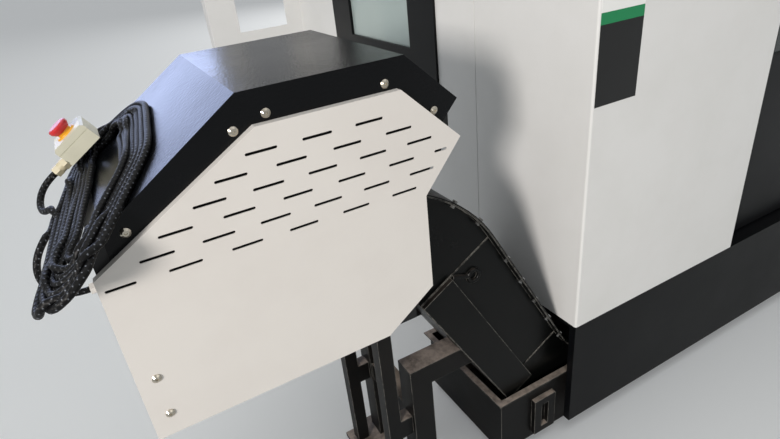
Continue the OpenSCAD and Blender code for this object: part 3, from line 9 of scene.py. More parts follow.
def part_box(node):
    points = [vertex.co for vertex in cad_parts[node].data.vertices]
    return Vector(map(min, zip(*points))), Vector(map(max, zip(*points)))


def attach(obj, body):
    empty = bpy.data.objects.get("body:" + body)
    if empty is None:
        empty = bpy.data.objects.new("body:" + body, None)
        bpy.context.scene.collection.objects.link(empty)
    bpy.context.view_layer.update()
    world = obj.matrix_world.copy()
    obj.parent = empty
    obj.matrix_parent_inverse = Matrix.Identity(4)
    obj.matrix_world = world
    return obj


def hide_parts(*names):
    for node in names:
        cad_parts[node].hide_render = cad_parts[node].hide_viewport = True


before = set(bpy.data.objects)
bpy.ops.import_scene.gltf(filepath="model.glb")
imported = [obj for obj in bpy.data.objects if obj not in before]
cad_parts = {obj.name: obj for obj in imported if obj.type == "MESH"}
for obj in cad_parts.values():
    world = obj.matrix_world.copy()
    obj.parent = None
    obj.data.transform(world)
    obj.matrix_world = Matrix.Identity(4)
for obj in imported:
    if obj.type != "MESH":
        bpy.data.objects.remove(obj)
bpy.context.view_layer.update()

scene = bpy.context.scene

# The camera stands at the machine's front left corner, above the conveyor's head, and is rolled a
# little to the left, as a hand-held picture is. Its place and its turn were solved from the photo.
eye_data = bpy.data.cameras.new("eye")
eye_data.sensor_width = 36
eye_data.lens = 25.772
eye = bpy.data.objects.new("eye", eye_data)
scene.collection.objects.link(eye)
eye.matrix_world = Matrix((
    (0.86508, 0.30858, -0.39550, -1.7375),
    (-0.49213, 0.36928, -0.78832, -1.7950),
    (-0.09721, 0.87659, 0.47131, 1.4230),
    (0, 0, 0, 1),
))
scene.camera = eye

# The stop station's cable: copper strands in a PVC sheath, drawn into a black braided sleeve.
# It is coiled by hand into seven long turns that lie on the cover's left slope and hang over its
# edge. The turns are laid roughly, and then settle until none is pressed into another.
# The routes and circles are the part's own, in millimetres: the gland's route is measured from the
# machine's front left corner, the station's up the slope, along it and off it, and each circle has
# its middle on the slope and its radius.
MIDDLE = Vector((0.7955, 0.9590, 0))
CABLE_D = 0.012
TURNS = 7
LAID_BEND = 26
SETTLED_BEND = 0.040
POINT_STEP = 0.008
ROUNDS = 120
SIDES = 12
FIRST_ANGLE = 200
SLOPE_RUN, SLOPE_RISE = 238, 159
slope_foot = Vector((-0.993, 0, 1.059)) - MIDDLE
slope_angle = math.atan2(SLOPE_RISE, SLOPE_RUN)
up_slope = Vector((math.cos(slope_angle), 0, math.sin(slope_angle)))
off_slope = Vector((-math.sin(slope_angle), 0, math.cos(slope_angle)))
coil_outer = [(95, 333, 75), (30, 333, 75), (75, 130, 60), (-85, -65, 45)]
coil_inner = [(88, 326, 9), (48, 326, 9), (62, 160, 7), (-25, 30, 6)]
gland_route = [
    (-1048, 160, 900), (-1060, 160, 900), (-1074, 160, 902), (-1087, 160, 907), (-1098, 159, 916),
    (-1106, 158, 928), (-1110, 157, 942), (-1111, 156, 957), (-1108, 156, 972), (-1102, 158, 987),
    (-1093, 163, 1000), (-1082, 172, 1011), (-1071, 186, 1019), (-1064, 204, 1023),
]
station_route = [
    (-34, 318, 37), (-48, 318, 37), (-62, 316, 36), (-76, 311, 33), (-87, 302, 28),
    (-93, 288, 23), (-94, 274, 19), (-89, 259, 18), (-79, 247, 18), (-68, 236, 18),
]


def on_slope(s, y, lift):
    """A point s up the slope, y along it and lift off it, all in millimetres."""
    return slope_foot + s / 1000 * up_slope + Vector((0, y / 1000, 0)) + lift / 1000 * off_slope


def on_coil(turn, share):
    """A point of the coil's middle line at that turn, share of the way from its inside out."""
    angle = math.radians(FIRST_ANGLE) - turn * math.tau
    way = Vector((math.cos(angle), math.sin(angle)))
    circles = []
    for inner, outer in zip(coil_inner, coil_outer):
        x, y, r = [i + (o - i) * share for i, o in zip(inner, outer)]
        circles.append((x, y, max(LAID_BEND, r)))
    x, y, r = max(circles, key=lambda c: c[0] * way.x + c[1] * way.y + c[2])
    return x + r * way.x, y + r * way.y


def rounded(points):
    """The same line with its corners cut three times."""
    for _ in range(3):
        cut = [points[0]]
        for a, b in zip(points, points[1:]):
            cut += [a.lerp(b, 0.25), a.lerp(b, 0.75)]
        points = cut + [points[-1]]
    return points


def laid():
    """From the housing's gland through the coil, layer on layer, to the station's gland."""
    points_a_turn = 36
    first, last = 0.16, TURNS + 0.08
    lowest, rise = 6.5, 13
    fade = 0.35
    half = TURNS / 2
    points = [Vector(p) / 1000 - MIDDLE for p in gland_route]
    for n in range(round((last - first) * points_a_turn) + 1):
        turn = first + n / points_a_turn
        phase = turn % 1 * math.tau
        sway = math.cos(phase + 0.6) if turn < half else -math.cos(phase + 0.2)
        sway = 0.12 * sway + 0.07 * math.sin(2.3 * turn + 1)
        ends = min(1, (turn - first) / fade, (last - turn) / fade)
        share = 0.1 + 0.8 * abs(turn - half) / half + ends * sway
        x, y = on_coil(turn, share)
        points.append(on_slope(x, y, lowest + rise * turn / TURNS))
    return rounded(points + [on_slope(*p) for p in reversed(station_route)])


def settle(points, step, rounds, tightest):
    """The cable let down on the slope: it keeps its length, its own thickness and its stiffness."""
    held_at_start, held_at_end = 22, 18
    neighbours = 5
    span = 6
    sink = 0.00025
    smoothing = 0.25
    spreading = 0.35
    clearance = 0.0002
    spots = np.array(points)
    along = np.concatenate([[0], np.cumsum(np.linalg.norm(np.diff(spots, axis=0), axis=1))])
    marks = np.linspace(0, along[-1], round(along[-1] / step) + 1)
    spots = np.stack([np.interp(marks, along, spots[:, k]) for k in range(3)], 1)
    count = len(spots)
    free = np.ones((count, 1))
    free[:held_at_start] = free[-held_at_end:] = 0
    rest = np.linalg.norm(np.diff(spots, axis=0), axis=1)
    order = np.arange(count)
    apart = abs(order[:, None] - order) > neighbours
    foot, off = np.array(slope_foot), np.array(off_slope)
    chord = 2 * tightest * math.sin(step * span / 2 / tightest)
    for _ in range(rounds):
        spots = spots - free * sink * off
        middle = spots.copy()
        middle[2:-2] = (4 * spots[1:-3] + 4 * spots[3:-1] - spots[:-4] - spots[4:]) / 6
        spots += smoothing * free * (middle - spots)
        between = spots[:, None] - spots
        gap = np.sqrt((between ** 2).sum(2)) + 1e-9
        near = (gap < CABLE_D) & apart
        push = np.where(near, (CABLE_D - gap) / gap / 2, 0)
        push = (between * push[:, :, None]).sum(1)
        spots += free * push / np.sqrt(np.maximum(1, near.sum(1)))[:, None]
        across = spots[span:] - spots[:-span]
        width = np.linalg.norm(across, axis=1)
        spread = across * (spreading * np.maximum(0, chord - width) / width)[:, None]
        spots[span:] += spread * free[span:]
        spots[:-span] -= spread * free[:-span]
        sunk = np.maximum(0, CABLE_D / 2 + clearance - (spots - foot) @ off)
        spots += free * sunk[:, None] * off
        for _ in range(3):
            for odd in (0, 1):
                a, b = spots[odd:-1:2], spots[odd + 1::2]
                link = b - a
                size = np.linalg.norm(link, axis=1)
                fix = link * ((size - rest[odd::2]) / size / 2)[:, None]
                spots[odd:-1:2] += fix * free[odd:-1:2]
                spots[odd + 1::2] -= fix * free[odd + 1::2]
    return [Vector(spot) for spot in spots.tolist()]


def tube_mesh(name, line, radius, sides):
    """A closed round tube along a line; its UV map runs along it in metres and once round it."""
    mesh = bpy.data.meshes.new(name)
    shape = bmesh.new()
    across = (line[1] - line[0]).orthogonal().normalized()
    rings, runs = [], [0.0]
    for i, middle in enumerate(line):
        way = (line[min(i + 1, len(line) - 1)] - line[max(i - 1, 0)]).normalized()
        across = (across - across.dot(way) * way).normalized()
        other = way.cross(across)
        rings.append([
            shape.verts.new(middle + radius * (math.cos(a) * across + math.sin(a) * other))
            for a in (k * math.tau / sides for k in range(sides))
        ])
        if i:
            runs.append(runs[-1] + (middle - line[i - 1]).length)
    layer = shape.loops.layers.uv.new("along")
    for i, (low, high) in enumerate(zip(rings, rings[1:])):
        for k in range(sides):
            after = (k + 1) % sides
            face = shape.faces.new((low[k], low[after], high[after], high[k]))
            spots = ((runs[i], k), (runs[i], k + 1), (runs[i + 1], k + 1), (runs[i + 1], k))
            for loop, (run, turn) in zip(face.loops, spots):
                loop[layer].uv = (run, turn / sides)
    shape.faces.new(reversed(rings[0]))
    shape.faces.new(rings[-1])
    for face in shape.faces:
        face.smooth = len(face.verts) == 4
    shape.normal_update()
    shape.to_mesh(mesh)
    shape.free()
    tube = bpy.data.objects.new(name, mesh)
    scene.collection.objects.link(tube)
    return tube


line = settle(laid(), POINT_STEP, ROUNDS, SETTLED_BEND)
cable = tube_mesh("stop_cable", line, CABLE_D / 2, SIDES)
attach(cable, "machine")
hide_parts("cable_tube", "cable_coil")


def linear(colour):
    """An sRGB hex colour as Blender's linear one."""
    parts = [int(colour[i:i + 2], 16) / 255 for i in (1, 3, 5)]
    return [c / 12.92 if c <= 0.04045 else ((c + 0.055) / 1.055) ** 2.4 for c in parts] + [1]


def new_material(name):
    """A material with one shader, and the shader."""
    material = bpy.data.materials.new(name)
    material.use_nodes = True
    shader = material.node_tree.nodes["Principled BSDF"]
    return material, shader


def add(material, kind, values=(), **settings):
    """Adds a node to a material, with its settings and its inputs' values or links."""
    node = material.node_tree.nodes.new(kind)
    for name, value in settings.items():
        setattr(node, name, value)
    for name, value in dict(values).items():
        if isinstance(value, bpy.types.NodeSocket):
            material.node_tree.links.new(value, node.inputs[name])
        else:
            node.inputs[name].default_value = value
    return node


def finish_node(name, material):
    """A CAD node's material, on each of its slots."""
    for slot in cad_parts[name].material_slots:
        slot.material = material


# Braided polyester sleeve: black yarns wound in two crossing spirals, flattened and shiny, with
# pale glints painted on the yarns' crowns. The real yarns are about 1 mm wide. They are drawn 8 mm
# wide, so that the painted glints, which stand for the pale specks seen on the real sleeve, are
# large enough for the render.
braid, shader = new_material("braided polyester sleeve")
along = add(braid, "ShaderNodeUVMap", uv_map="along").outputs["UV"]
spot = add(braid, "ShaderNodeSeparateXYZ", {0: along})
YARN_PITCH = 0.0050
YARNS = 6
heights = []
for sign in (1, -1):
    wind = add(braid, "ShaderNodeMath", {
        0: spot.outputs["X"], 1: sign / YARN_PITCH}, operation="MULTIPLY")
    turned = add(braid, "ShaderNodeMath", {
        0: spot.outputs["Y"], 1: float(YARNS), 2: wind.outputs[0]}, operation="MULTIPLY_ADD")
    wave = add(braid, "ShaderNodeMath", {0: turned.outputs[0], 1: 1.0}, operation="PINGPONG")
    heights.append(wave.outputs[0])
crown = add(braid, "ShaderNodeMath", {0: heights[0], 1: heights[1]}, operation="MULTIPLY")
place = add(braid, "ShaderNodeTexCoord").outputs["Object"]
glint_noise = add(braid, "ShaderNodeTexNoise", {"Vector": place, "Scale": 210.0, "Detail": 2.0})
painted_glint = add(braid, "ShaderNodeMath", {
    0: crown.outputs[0], 1: glint_noise.outputs["Fac"]}, operation="MULTIPLY")
# Painted glints: the yarns' crowns are coloured pale grey where the noise is high.
colour = add(braid, "ShaderNodeValToRGB", {"Fac": painted_glint.outputs[0]})
colour.color_ramp.elements[0].position = 0.3
colour.color_ramp.elements[0].color = linear("#040405")
colour.color_ramp.elements[1].position = 0.62
colour.color_ramp.elements[1].color = linear("#8f949c")
raised = add(braid, "ShaderNodeBump", {
    "Height": crown.outputs[0], "Distance": 0.0009, "Strength": 0.9})
braid.node_tree.links.new(colour.outputs["Color"], shader.inputs["Base Color"])
braid.node_tree.links.new(raised.outputs["Normal"], shader.inputs["Normal"])
shader.inputs["Roughness"].default_value = 0.46
shader.inputs["Specular IOR Level"].default_value = 0.22
cable.data.materials.append(braid)


# Stop station: a two-part box moulded in ivory ABS, with a fine spark-eroded grain on its sides,
# a yellow collar and a red mushroom button of glossier plastic, and a polyamide cable gland.
def moulded(name, colour, rough, grain_mm, depth):
    """Moulded plastic: one colour, a fine grain, and a slow change of gloss from being touched."""
    material, shader = new_material(name)
    place = add(material, "ShaderNodeTexCoord").outputs["Object"]
    grain = add(material, "ShaderNodeTexNoise", {
        "Vector": place, "Scale": 1000 / grain_mm, "Detail": 2.0})
    wear = add(material, "ShaderNodeTexNoise", {"Vector": place, "Scale": 28.0, "Detail": 3.0})
    gloss = add(material, "ShaderNodeMapRange", {
        "Value": wear.outputs["Fac"], "From Min": 0.3, "From Max": 0.7,
        "To Min": rough - 0.06, "To Max": rough + 0.08})
    dark = [c * 0.86 for c in linear(colour)[:3]] + [1]
    tint = add(material, "ShaderNodeMix", {
        "Factor": wear.outputs["Fac"], 6: dark, 7: linear(colour)}, data_type="RGBA")
    bump = add(material, "ShaderNodeBump", {
        "Height": grain.outputs["Fac"], "Distance": depth / 1000, "Strength": 0.6})
    links = material.node_tree.links
    links.new(gloss.outputs["Result"], shader.inputs["Roughness"])
    links.new(tint.outputs[2], shader.inputs["Base Color"])
    links.new(bump.outputs["Normal"], shader.inputs["Normal"])
    shader.inputs["IOR"].default_value = 1.53
    return material


# Each has its colour, its roughness, the width of its grain and the grain's depth in millimetres.
finish_node("stop_box", moulded("moulded ivory abs", "#dbd9c4", 0.42, 0.9, 0.04))
finish_node("stop_collar", moulded("moulded yellow abs", "#e6a61c", 0.34, 1.2, 0.01))
finish_node("cable_gland", moulded("cream polyamide", "#cfc5a6", 0.40, 0.9, 0.1))
signal_red = moulded("red polycarbonate", "#c5252a", 0.3, 2.5, 0.004)
finish_node("stop_button", signal_red)


# Powder-coated sheet steel: the coat flows out to a faint orange peel about 2 mm wide, handling
# leaves slow changes of gloss, and the edges of the sheet are rounded by the bends and the coat.
def powder_coat(name, colour, grime, rough, peel_mm=2.2, depth=0.05, level=0.5, dust_and_top_light=None,
                edge_highlight_and_wear=None):
    """Paint with its peel and a slow change of tone; level faces take a dust colour, which where it
    is pale is also painted light on those tops, and edges take a pale painted highlight, patchy
    like worn paint.
    """
    material, shader = new_material(name)
    place = add(material, "ShaderNodeTexCoord").outputs["Object"]
    peel = add(material, "ShaderNodeTexNoise", {
        "Vector": place, "Scale": 1000 / peel_mm, "Detail": 1.5})
    cloud = add(material, "ShaderNodeTexNoise", {
        "Vector": place, "Scale": 3.2, "Detail": 6.0, "Roughness": 0.62})
    share = add(material, "ShaderNodeMapRange", {
        "Value": cloud.outputs["Fac"], "From Min": 0.42, "From Max": 0.78,
        "To Min": 0.0, "To Max": 1.0})
    tint = add(material, "ShaderNodeMix", {
        "Factor": share.outputs["Result"], 6: linear(colour), 7: linear(grime)}, data_type="RGBA")
    gloss = add(material, "ShaderNodeMapRange", {
        "Value": cloud.outputs["Fac"], "From Min": 0.3, "From Max": 0.75,
        "To Min": rough - 0.04, "To Max": rough + 0.08})
    bump = add(material, "ShaderNodeBump", {
        "Height": peel.outputs["Fac"], "Distance": depth / 1000, "Strength": 0.7})
    shown, dull = tint.outputs[2], gloss.outputs["Result"]
    # Dust on level faces; where its colour is pale it is also painted light on those tops.
    if dust_and_top_light:
        facing = add(material, "ShaderNodeSeparateXYZ", {
            0: add(material, "ShaderNodeTexCoord").outputs["Normal"]})
        level_faces = add(material, "ShaderNodeMapRange", {
            "Value": facing.outputs["Z"], "From Min": 0.75, "From Max": 0.97,
            "To Min": 0.0, "To Max": 1.0})
        patch = add(material, "ShaderNodeTexNoise", {
            "Vector": place, "Scale": 26.0, "Detail": 6.0, "Roughness": 0.7})
        thick = add(material, "ShaderNodeMapRange", {
            "Value": patch.outputs["Fac"], "From Min": 0.32, "From Max": 0.6,
            "To Min": 0.25, "To Max": 0.95})
        cover = add(material, "ShaderNodeMath", {
            0: level_faces.outputs["Result"], 1: thick.outputs["Result"]}, operation="MULTIPLY")
        shown = add(material, "ShaderNodeMix", {
            "Factor": cover.outputs[0], 6: shown, 7: linear(dust_and_top_light)}, data_type="RGBA").outputs[2]
        dull = add(material, "ShaderNodeMath", {
            0: cover.outputs[0], 1: 0.4, 2: dull}, operation="MULTIPLY_ADD").outputs[0]
    # Painted highlight: a pale line along the sharp edges, broken into patches like rubbed paint.
    if edge_highlight_and_wear:
        edge = add(material, "ShaderNodeBevel", {"Radius": 0.0025}, samples=6)
        flat = add(material, "ShaderNodeNewGeometry")
        turned = add(material, "ShaderNodeVectorMath", {
            0: edge.outputs["Normal"], 1: flat.outputs["Normal"]}, operation="DOT_PRODUCT")
        painted_edge_highlight = add(material, "ShaderNodeMapRange", {
            "Value": turned.outputs["Value"], "From Min": 0.995, "From Max": 0.93,
            "To Min": 0.0, "To Max": 1.0})
        chips = add(material, "ShaderNodeTexNoise", {"Vector": place, "Scale": 70.0, "Detail": 4.0})
        bare = add(material, "ShaderNodeMapRange", {
            "Value": chips.outputs["Fac"], "From Min": 0.36, "From Max": 0.56,
            "To Min": 0.15, "To Max": 1.0})
        edge_highlight_and_wear_share = add(material, "ShaderNodeMath", {
            0: painted_edge_highlight.outputs["Result"], 1: bare.outputs["Result"]}, operation="MULTIPLY")
        shown = add(material, "ShaderNodeMix", {
            "Factor": edge_highlight_and_wear_share.outputs[0], 6: shown, 7: linear(edge_highlight_and_wear)}, data_type="RGBA").outputs[2]
    links = material.node_tree.links
    links.new(shown, shader.inputs["Base Color"])
    links.new(dull, shader.inputs["Roughness"])
    links.new(bump.outputs["Normal"], shader.inputs["Normal"])
    shader.inputs["Specular IOR Level"].default_value = level
    return material


def soften(name, width_mm, least_angle=28):
    """Rounds a node's sharp edges by a live bevel."""
    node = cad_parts[name]
    weld = node.modifiers.new("weld", "WELD")
    weld.merge_threshold = 0.00002
    bevel = node.modifiers.new("round", "BEVEL")
    bevel.width = width_mm / 1000
    bevel.segments = 2
    bevel.limit_method = "ANGLE"
    bevel.angle_limit = math.radians(least_angle)
    flat = node.modifiers.new("flat faces", "WEIGHTED_NORMAL")
    flat.weight = 100


# Enclosure: white panels over a black base, folded from sheet and powder-coated.
white_coat = powder_coat("white powder coat", "#dddddb", "#d6d6d3", 0.36)
for name in ("left_front_panel", "left_side_panel", "right_front_panel", "right_side_panel",
             "door_header", "roof", "rear_side_frame", "cabinet", "cabinet_door"):
    finish_node(name, white_coat)
base_coat = powder_coat("black powder coat", "#050608", "#090a0c", 0.36, 1.8, 0.06, 0.2)
for name in ("base_skirt", "side_window_frame", "left_door", "right_door"):
    finish_node(name, base_coat)
for name in ("left_front_panel", "left_side_panel", "right_front_panel", "right_side_panel",
             "base_skirt", "side_window_frame", "rear_side_frame"):
    soften(name, 1.2)

# Conveyor head: a pale guard in front of a white housing, under a cover of folded sheet that is
# sprayed with a glossy black enamel whose peel is coarse enough to be seen. The duct, its tank and
# its stand are black too; dust lies on what is level, and on the tank and stand its pale colour is
# also painted light on their tops. Their edges carry a pale painted highlight, patchy like rubbed
# paint.
guard_coat = powder_coat("warm white powder coat", "#dad6d0", "#d3cec8", 0.4, 1.6, 0.05)
finish_node("guard_panel", guard_coat)
cover_coat = powder_coat("black gloss enamel", "#040507", "#07080b", 0.24, 5.0, 0.6, 0.22)
finish_node("head_cover", cover_coat)
duct_coat = powder_coat(
    "black machine enamel", "#040505", "#090908", 0.3, 2.6, 0.08, 0.2, dust_and_top_light="#3a3430",
    edge_highlight_and_wear="#77756f")
finish_node("conveyor_trough", duct_coat)
plate_coat = powder_coat(
    "black plate enamel", "#040505", "#090908", 0.3, 2.6, 0.08, 0.2, dust_and_top_light="#3a3430")
finish_node("trough_cover", plate_coat)
# Painted light: the tank's and stand's dust is pale enough to stand in for the light on their tops.
tank_coat = powder_coat(
    "dusty black enamel with painted top light", "#070707", "#14110f", 0.42, 2.6, 0.08, 0.22, dust_and_top_light="#978b80",
    edge_highlight_and_wear="#77756f")
for name in ("coolant_tank", "conveyor_stand"):
    finish_node(name, tank_coat)
soften("head_cover", 1.0)
soften("guard_panel", 0.6)
soften("coolant_tank", 1.2)
soften("conveyor_stand", 1.5)
soften("trough_cover", 0.8)
soften("conveyor_trough", 1.5)

# Head housing: folded from sheet and white outside. Its near wall stands close behind the guard's
# slots, and is painted near black there as painted shade, so that the slots show dark like the
# shadowed inside of the housing.
SLOT_SHADE_Y = -0.9405
housing_coat_and_slot_shade = powder_coat("housing powder coat with painted slot shade", "#d4d1cc", "#cbc7c1", 0.42)
near = add(housing_coat_and_slot_shade, "ShaderNodeSeparateXYZ", {
    0: add(housing_coat_and_slot_shade, "ShaderNodeTexCoord").outputs["Object"]})
painted_slot_shade_mask = add(housing_coat_and_slot_shade, "ShaderNodeMath", {
    0: near.outputs["Y"], 1: SLOT_SHADE_Y}, operation="LESS_THAN")
shader = housing_coat_and_slot_shade.node_tree.nodes["Principled BSDF"]
plain = shader.inputs["Base Color"].links[0].from_socket
# Painted shade: behind the slots the wall is drawn near black to stand for the shade inside the
# housing.
dark = add(housing_coat_and_slot_shade, "ShaderNodeMix", {
    "Factor": painted_slot_shade_mask.outputs[0], 6: plain, 7: linear("#020203")}, data_type="RGBA")
housing_coat_and_slot_shade.node_tree.links.new(dark.outputs[2], shader.inputs["Base Color"])
finish_node("head_housing", housing_coat_and_slot_shade)


# Bare and plated metal: the screws are plated, the rails, screws and table are ground, and the
# trays, belt and chain are rolled, so each gleams with fine scratches along one axis.
def bare_metal(name, colour, stain, rough, scratch_scale):
    """Metal with scratches drawn out along one axis, and a slow stain."""
    material, shader = new_material(name)
    place = add(material, "ShaderNodeTexCoord").outputs["Object"]
    drawn = add(material, "ShaderNodeMapping", {"Vector": place, "Scale": scratch_scale})
    scratch = add(material, "ShaderNodeTexNoise", {
        "Vector": drawn.outputs["Vector"], "Scale": 60.0, "Detail": 5.0})
    cloud = add(material, "ShaderNodeTexNoise", {"Vector": place, "Scale": 9.0, "Detail": 4.0})
    share = add(material, "ShaderNodeMapRange", {
        "Value": cloud.outputs["Fac"], "From Min": 0.4, "From Max": 0.75,
        "To Min": 0.0, "To Max": 1.0})
    tint = add(material, "ShaderNodeMix", {
        "Factor": share.outputs["Result"], 6: linear(colour), 7: linear(stain)}, data_type="RGBA")
    gloss = add(material, "ShaderNodeMapRange", {
        "Value": scratch.outputs["Fac"], "From Min": 0.3, "From Max": 0.7,
        "To Min": rough - 0.08, "To Max": rough + 0.1})
    bump = add(material, "ShaderNodeBump", {
        "Height": scratch.outputs["Fac"], "Distance": 0.00004, "Strength": 0.5})
    links = material.node_tree.links
    links.new(tint.outputs[2], shader.inputs["Base Color"])
    links.new(gloss.outputs["Result"], shader.inputs["Roughness"])
    links.new(bump.outputs["Normal"], shader.inputs["Normal"])
    shader.inputs["Metallic"].default_value = 1.0
    return material


EVEN = (1, 1, 1)
nickel = bare_metal("nickel-plated steel", "#cdc6b8", "#b3aa99", 0.24, EVEN)
finish_node("cover_screws", nickel)
finish_node("trough_bolts", bare_metal("blackened steel", "#8a8a88", "#63615d", 0.3, EVEN))
ground_steel = bare_metal("ground steel", "#b9bbbd", "#9fa1a2", 0.3, (1, 20, 1))
for name in ("fixed_rails", "saddle_rails", "y_screw", "z_screw", "x_screw", "table", "spindle",
             "changer_disc", "motor_sprocket", "drive_shaft", "tail_shaft"):
    finish_node(name, ground_steel)
rolled_steel = bare_metal("rolled steel", "#77797b", "#615d57", 0.42, (1, 12, 1))
for name in ("chip_trays", "conveyor_belt", "drive_chain", "feet"):
    finish_node(name, rolled_steel)

# Castings: grey iron, filled and sprayed with a thick light-grey machine enamel. The motors and
# pumps have die-cast housings, sprayed black or blue-grey with a finer peel.
enamel = powder_coat("light grey machine enamel", "#aeb2b2", "#9b9f9f", 0.42, 6.0, 0.15)
for name in ("bed", "column", "saddle", "spindle_head", "changer_carriage"):
    finish_node(name, enamel)
motor_black = powder_coat("black motor enamel", "#17181a", "#222326", 0.45, 1.4, 0.06)
for name in ("axis_motors", "spindle_motor"):
    finish_node(name, motor_black)
motor_blue = powder_coat("blue-grey motor enamel", "#3d5468", "#4b5f70", 0.4, 3.0, 0.12)
for name in ("gearmotor", "coolant_pumps"):
    finish_node(name, motor_blue)

# Windows: laminated safety glass, which is faintly green at the side and smoke grey in the doors.
# A haze of dried coolant dulls its gloss here and there.
def safety_glass(name, colour, weight):
    """Glass of that colour, of which the weight is let through."""
    material, shader = new_material(name)
    place = add(material, "ShaderNodeTexCoord").outputs["Object"]
    haze = add(material, "ShaderNodeTexNoise", {"Vector": place, "Scale": 5.0, "Detail": 5.0})
    gloss = add(material, "ShaderNodeMapRange", {
        "Value": haze.outputs["Fac"], "From Min": 0.35, "From Max": 0.8,
        "To Min": 0.03, "To Max": 0.14})
    material.node_tree.links.new(gloss.outputs["Result"], shader.inputs["Roughness"])
    shader.inputs["Base Color"].default_value = linear(colour)
    shader.inputs["Transmission Weight"].default_value = weight
    shader.inputs["IOR"].default_value = 1.5
    return material


# Painted reflection: the side glass lets only 0.55 through, and the rest shows its pale green-white
# colour, standing for room light mirrored in the glass as well as its faint tint.
finish_node("side_window_glass", safety_glass("pale green safety glass with painted reflection", "#dcebe8", 0.55))
smoked = safety_glass("smoke grey safety glass", "#77807f", 0.85)
for name in ("left_door_glass", "right_door_glass"):
    finish_node(name, smoked)

# Operator's panel: a light grey sheet-steel box on an arm, with a dark screen, a stop button of
# the station's red plastic and a black phenolic knob.
panel_coat = powder_coat("light grey powder coat", "#b7bbbd", "#a8acad", 0.4)
for name in ("panel_arm", "panel_housing"):
    finish_node(name, panel_coat)
screen_glass, shader = new_material("dark screen glass")
shader.inputs["Base Color"].default_value = linear("#0d1118")
shader.inputs["Roughness"].default_value = 0.09
finish_node("panel_screen", screen_glass)
finish_node("panel_stop", signal_red)
finish_node("panel_knob", moulded("black phenolic", "#101113", 0.35, 1.5, 0.08))


# Plain colour plates on the left front panel, where a notice is stuck on the real one: a white
# head, a green band and a black field of printed vinyl 0.5 mm thick, with nothing printed on them.
def slab(name, low, high, round_mm=0.0, segments=2):
    """A block between two corners whose edges are rounded."""
    bpy.ops.object.select_all(action="DESELECT")
    middle = [(a + b) / 2 for a, b in zip(low, high)]
    bpy.ops.mesh.primitive_cube_add(size=1, location=middle)
    piece = bpy.context.object
    piece.name = name
    piece.scale = [b - a for a, b in zip(low, high)]
    bpy.ops.object.transform_apply(location=True, rotation=True, scale=True)
    if round_mm:
        bevel = piece.modifiers.new("round", "BEVEL")
        bevel.width = round_mm / 1000
        bevel.segments = segments
        bpy.ops.object.modifier_apply(modifier="round")
    return piece


def joined(name, parts):
    """The parts as one piece."""
    bpy.ops.object.select_all(action="DESELECT")
    for part in parts:
        part.select_set(True)
    bpy.context.view_layer.objects.active = parts[0]
    if len(parts) > 1:
        bpy.ops.object.join()
    piece = bpy.context.object
    piece.name = name
    return piece


def copied(piece, offsets):
    """The piece and its copies, each with its own mesh and moved by one of the offsets."""
    pieces = [piece]
    for offset in offsets:
        twin = piece.copy()
        twin.data = piece.data.copy()
        twin.data.transform(Matrix.Translation(offset))
        scene.collection.objects.link(twin)
        pieces.append(twin)
    return pieces


def place_piece(piece, body, material):
    """The piece's material and its body."""
    piece.data.materials.clear()
    piece.data.materials.append(material)
    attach(piece, body)


panel_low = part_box("left_front_panel")[0]
PLATE_INSET = 0.006
PLATE_W = 0.130
PLATE_T = 0.0005
SUNK = 0.0002
plate_x = panel_low[0] + PLATE_INSET
plate_front = panel_low[1] - PLATE_T
plates = [
    ("plate_black", 1.015, 1.190, "#0b0c0c", "black vinyl"),
    ("plate_green", 1.190, 1.214, "#0f7f4c", "green vinyl"),
    ("plate_white", 1.214, 1.330, "#e9eae7", "white vinyl"),
]
for name, low_z, high_z, colour, label in plates:
    plate = slab(
        name, (plate_x, plate_front, low_z),
        (plate_x + PLATE_W, panel_low[1] + SUNK, high_z), 0.2, 1)
    place_piece(plate, "machine", powder_coat(label, colour, colour, 0.42, 1.0, 0.01))


# Window seals: black rubber sections pushed over the glass's edge and the frame's, all round.
def seal(name, low, high, width, round_mm):
    """A rubber frame inside a box that is thin along one axis."""
    thin = min(range(3), key=lambda k: high[k] - low[k])
    bpy.ops.object.select_all(action="DESELECT")
    bpy.ops.mesh.primitive_plane_add(size=1)
    piece = bpy.context.object
    piece.name = name
    if thin == 0:
        piece.rotation_euler = (0, math.pi / 2, 0)
        piece.scale = (high[2] - low[2], high[1] - low[1], 1)
    else:
        piece.rotation_euler = (math.pi / 2, 0, 0)
        piece.scale = (high[0] - low[0], high[2] - low[2], 1)
    piece.location = [(a + b) / 2 for a, b in zip(low, high)]
    bpy.ops.object.transform_apply(location=True, rotation=True, scale=True)
    bpy.ops.object.mode_set(mode="EDIT")
    bpy.ops.mesh.select_all(action="SELECT")
    bpy.ops.mesh.inset(thickness=width)
    bpy.ops.mesh.delete(type="FACE")
    bpy.ops.object.mode_set(mode="OBJECT")
    wall = piece.modifiers.new("wall", "SOLIDIFY")
    wall.thickness = high[thin] - low[thin]
    wall.offset = 0
    bpy.ops.object.modifier_apply(modifier="wall")
    bevel = piece.modifiers.new("round", "BEVEL")
    bevel.width = round_mm / 1000
    bevel.segments = 3
    bevel.limit_method = "ANGLE"
    bpy.ops.object.modifier_apply(modifier="round")
    return piece


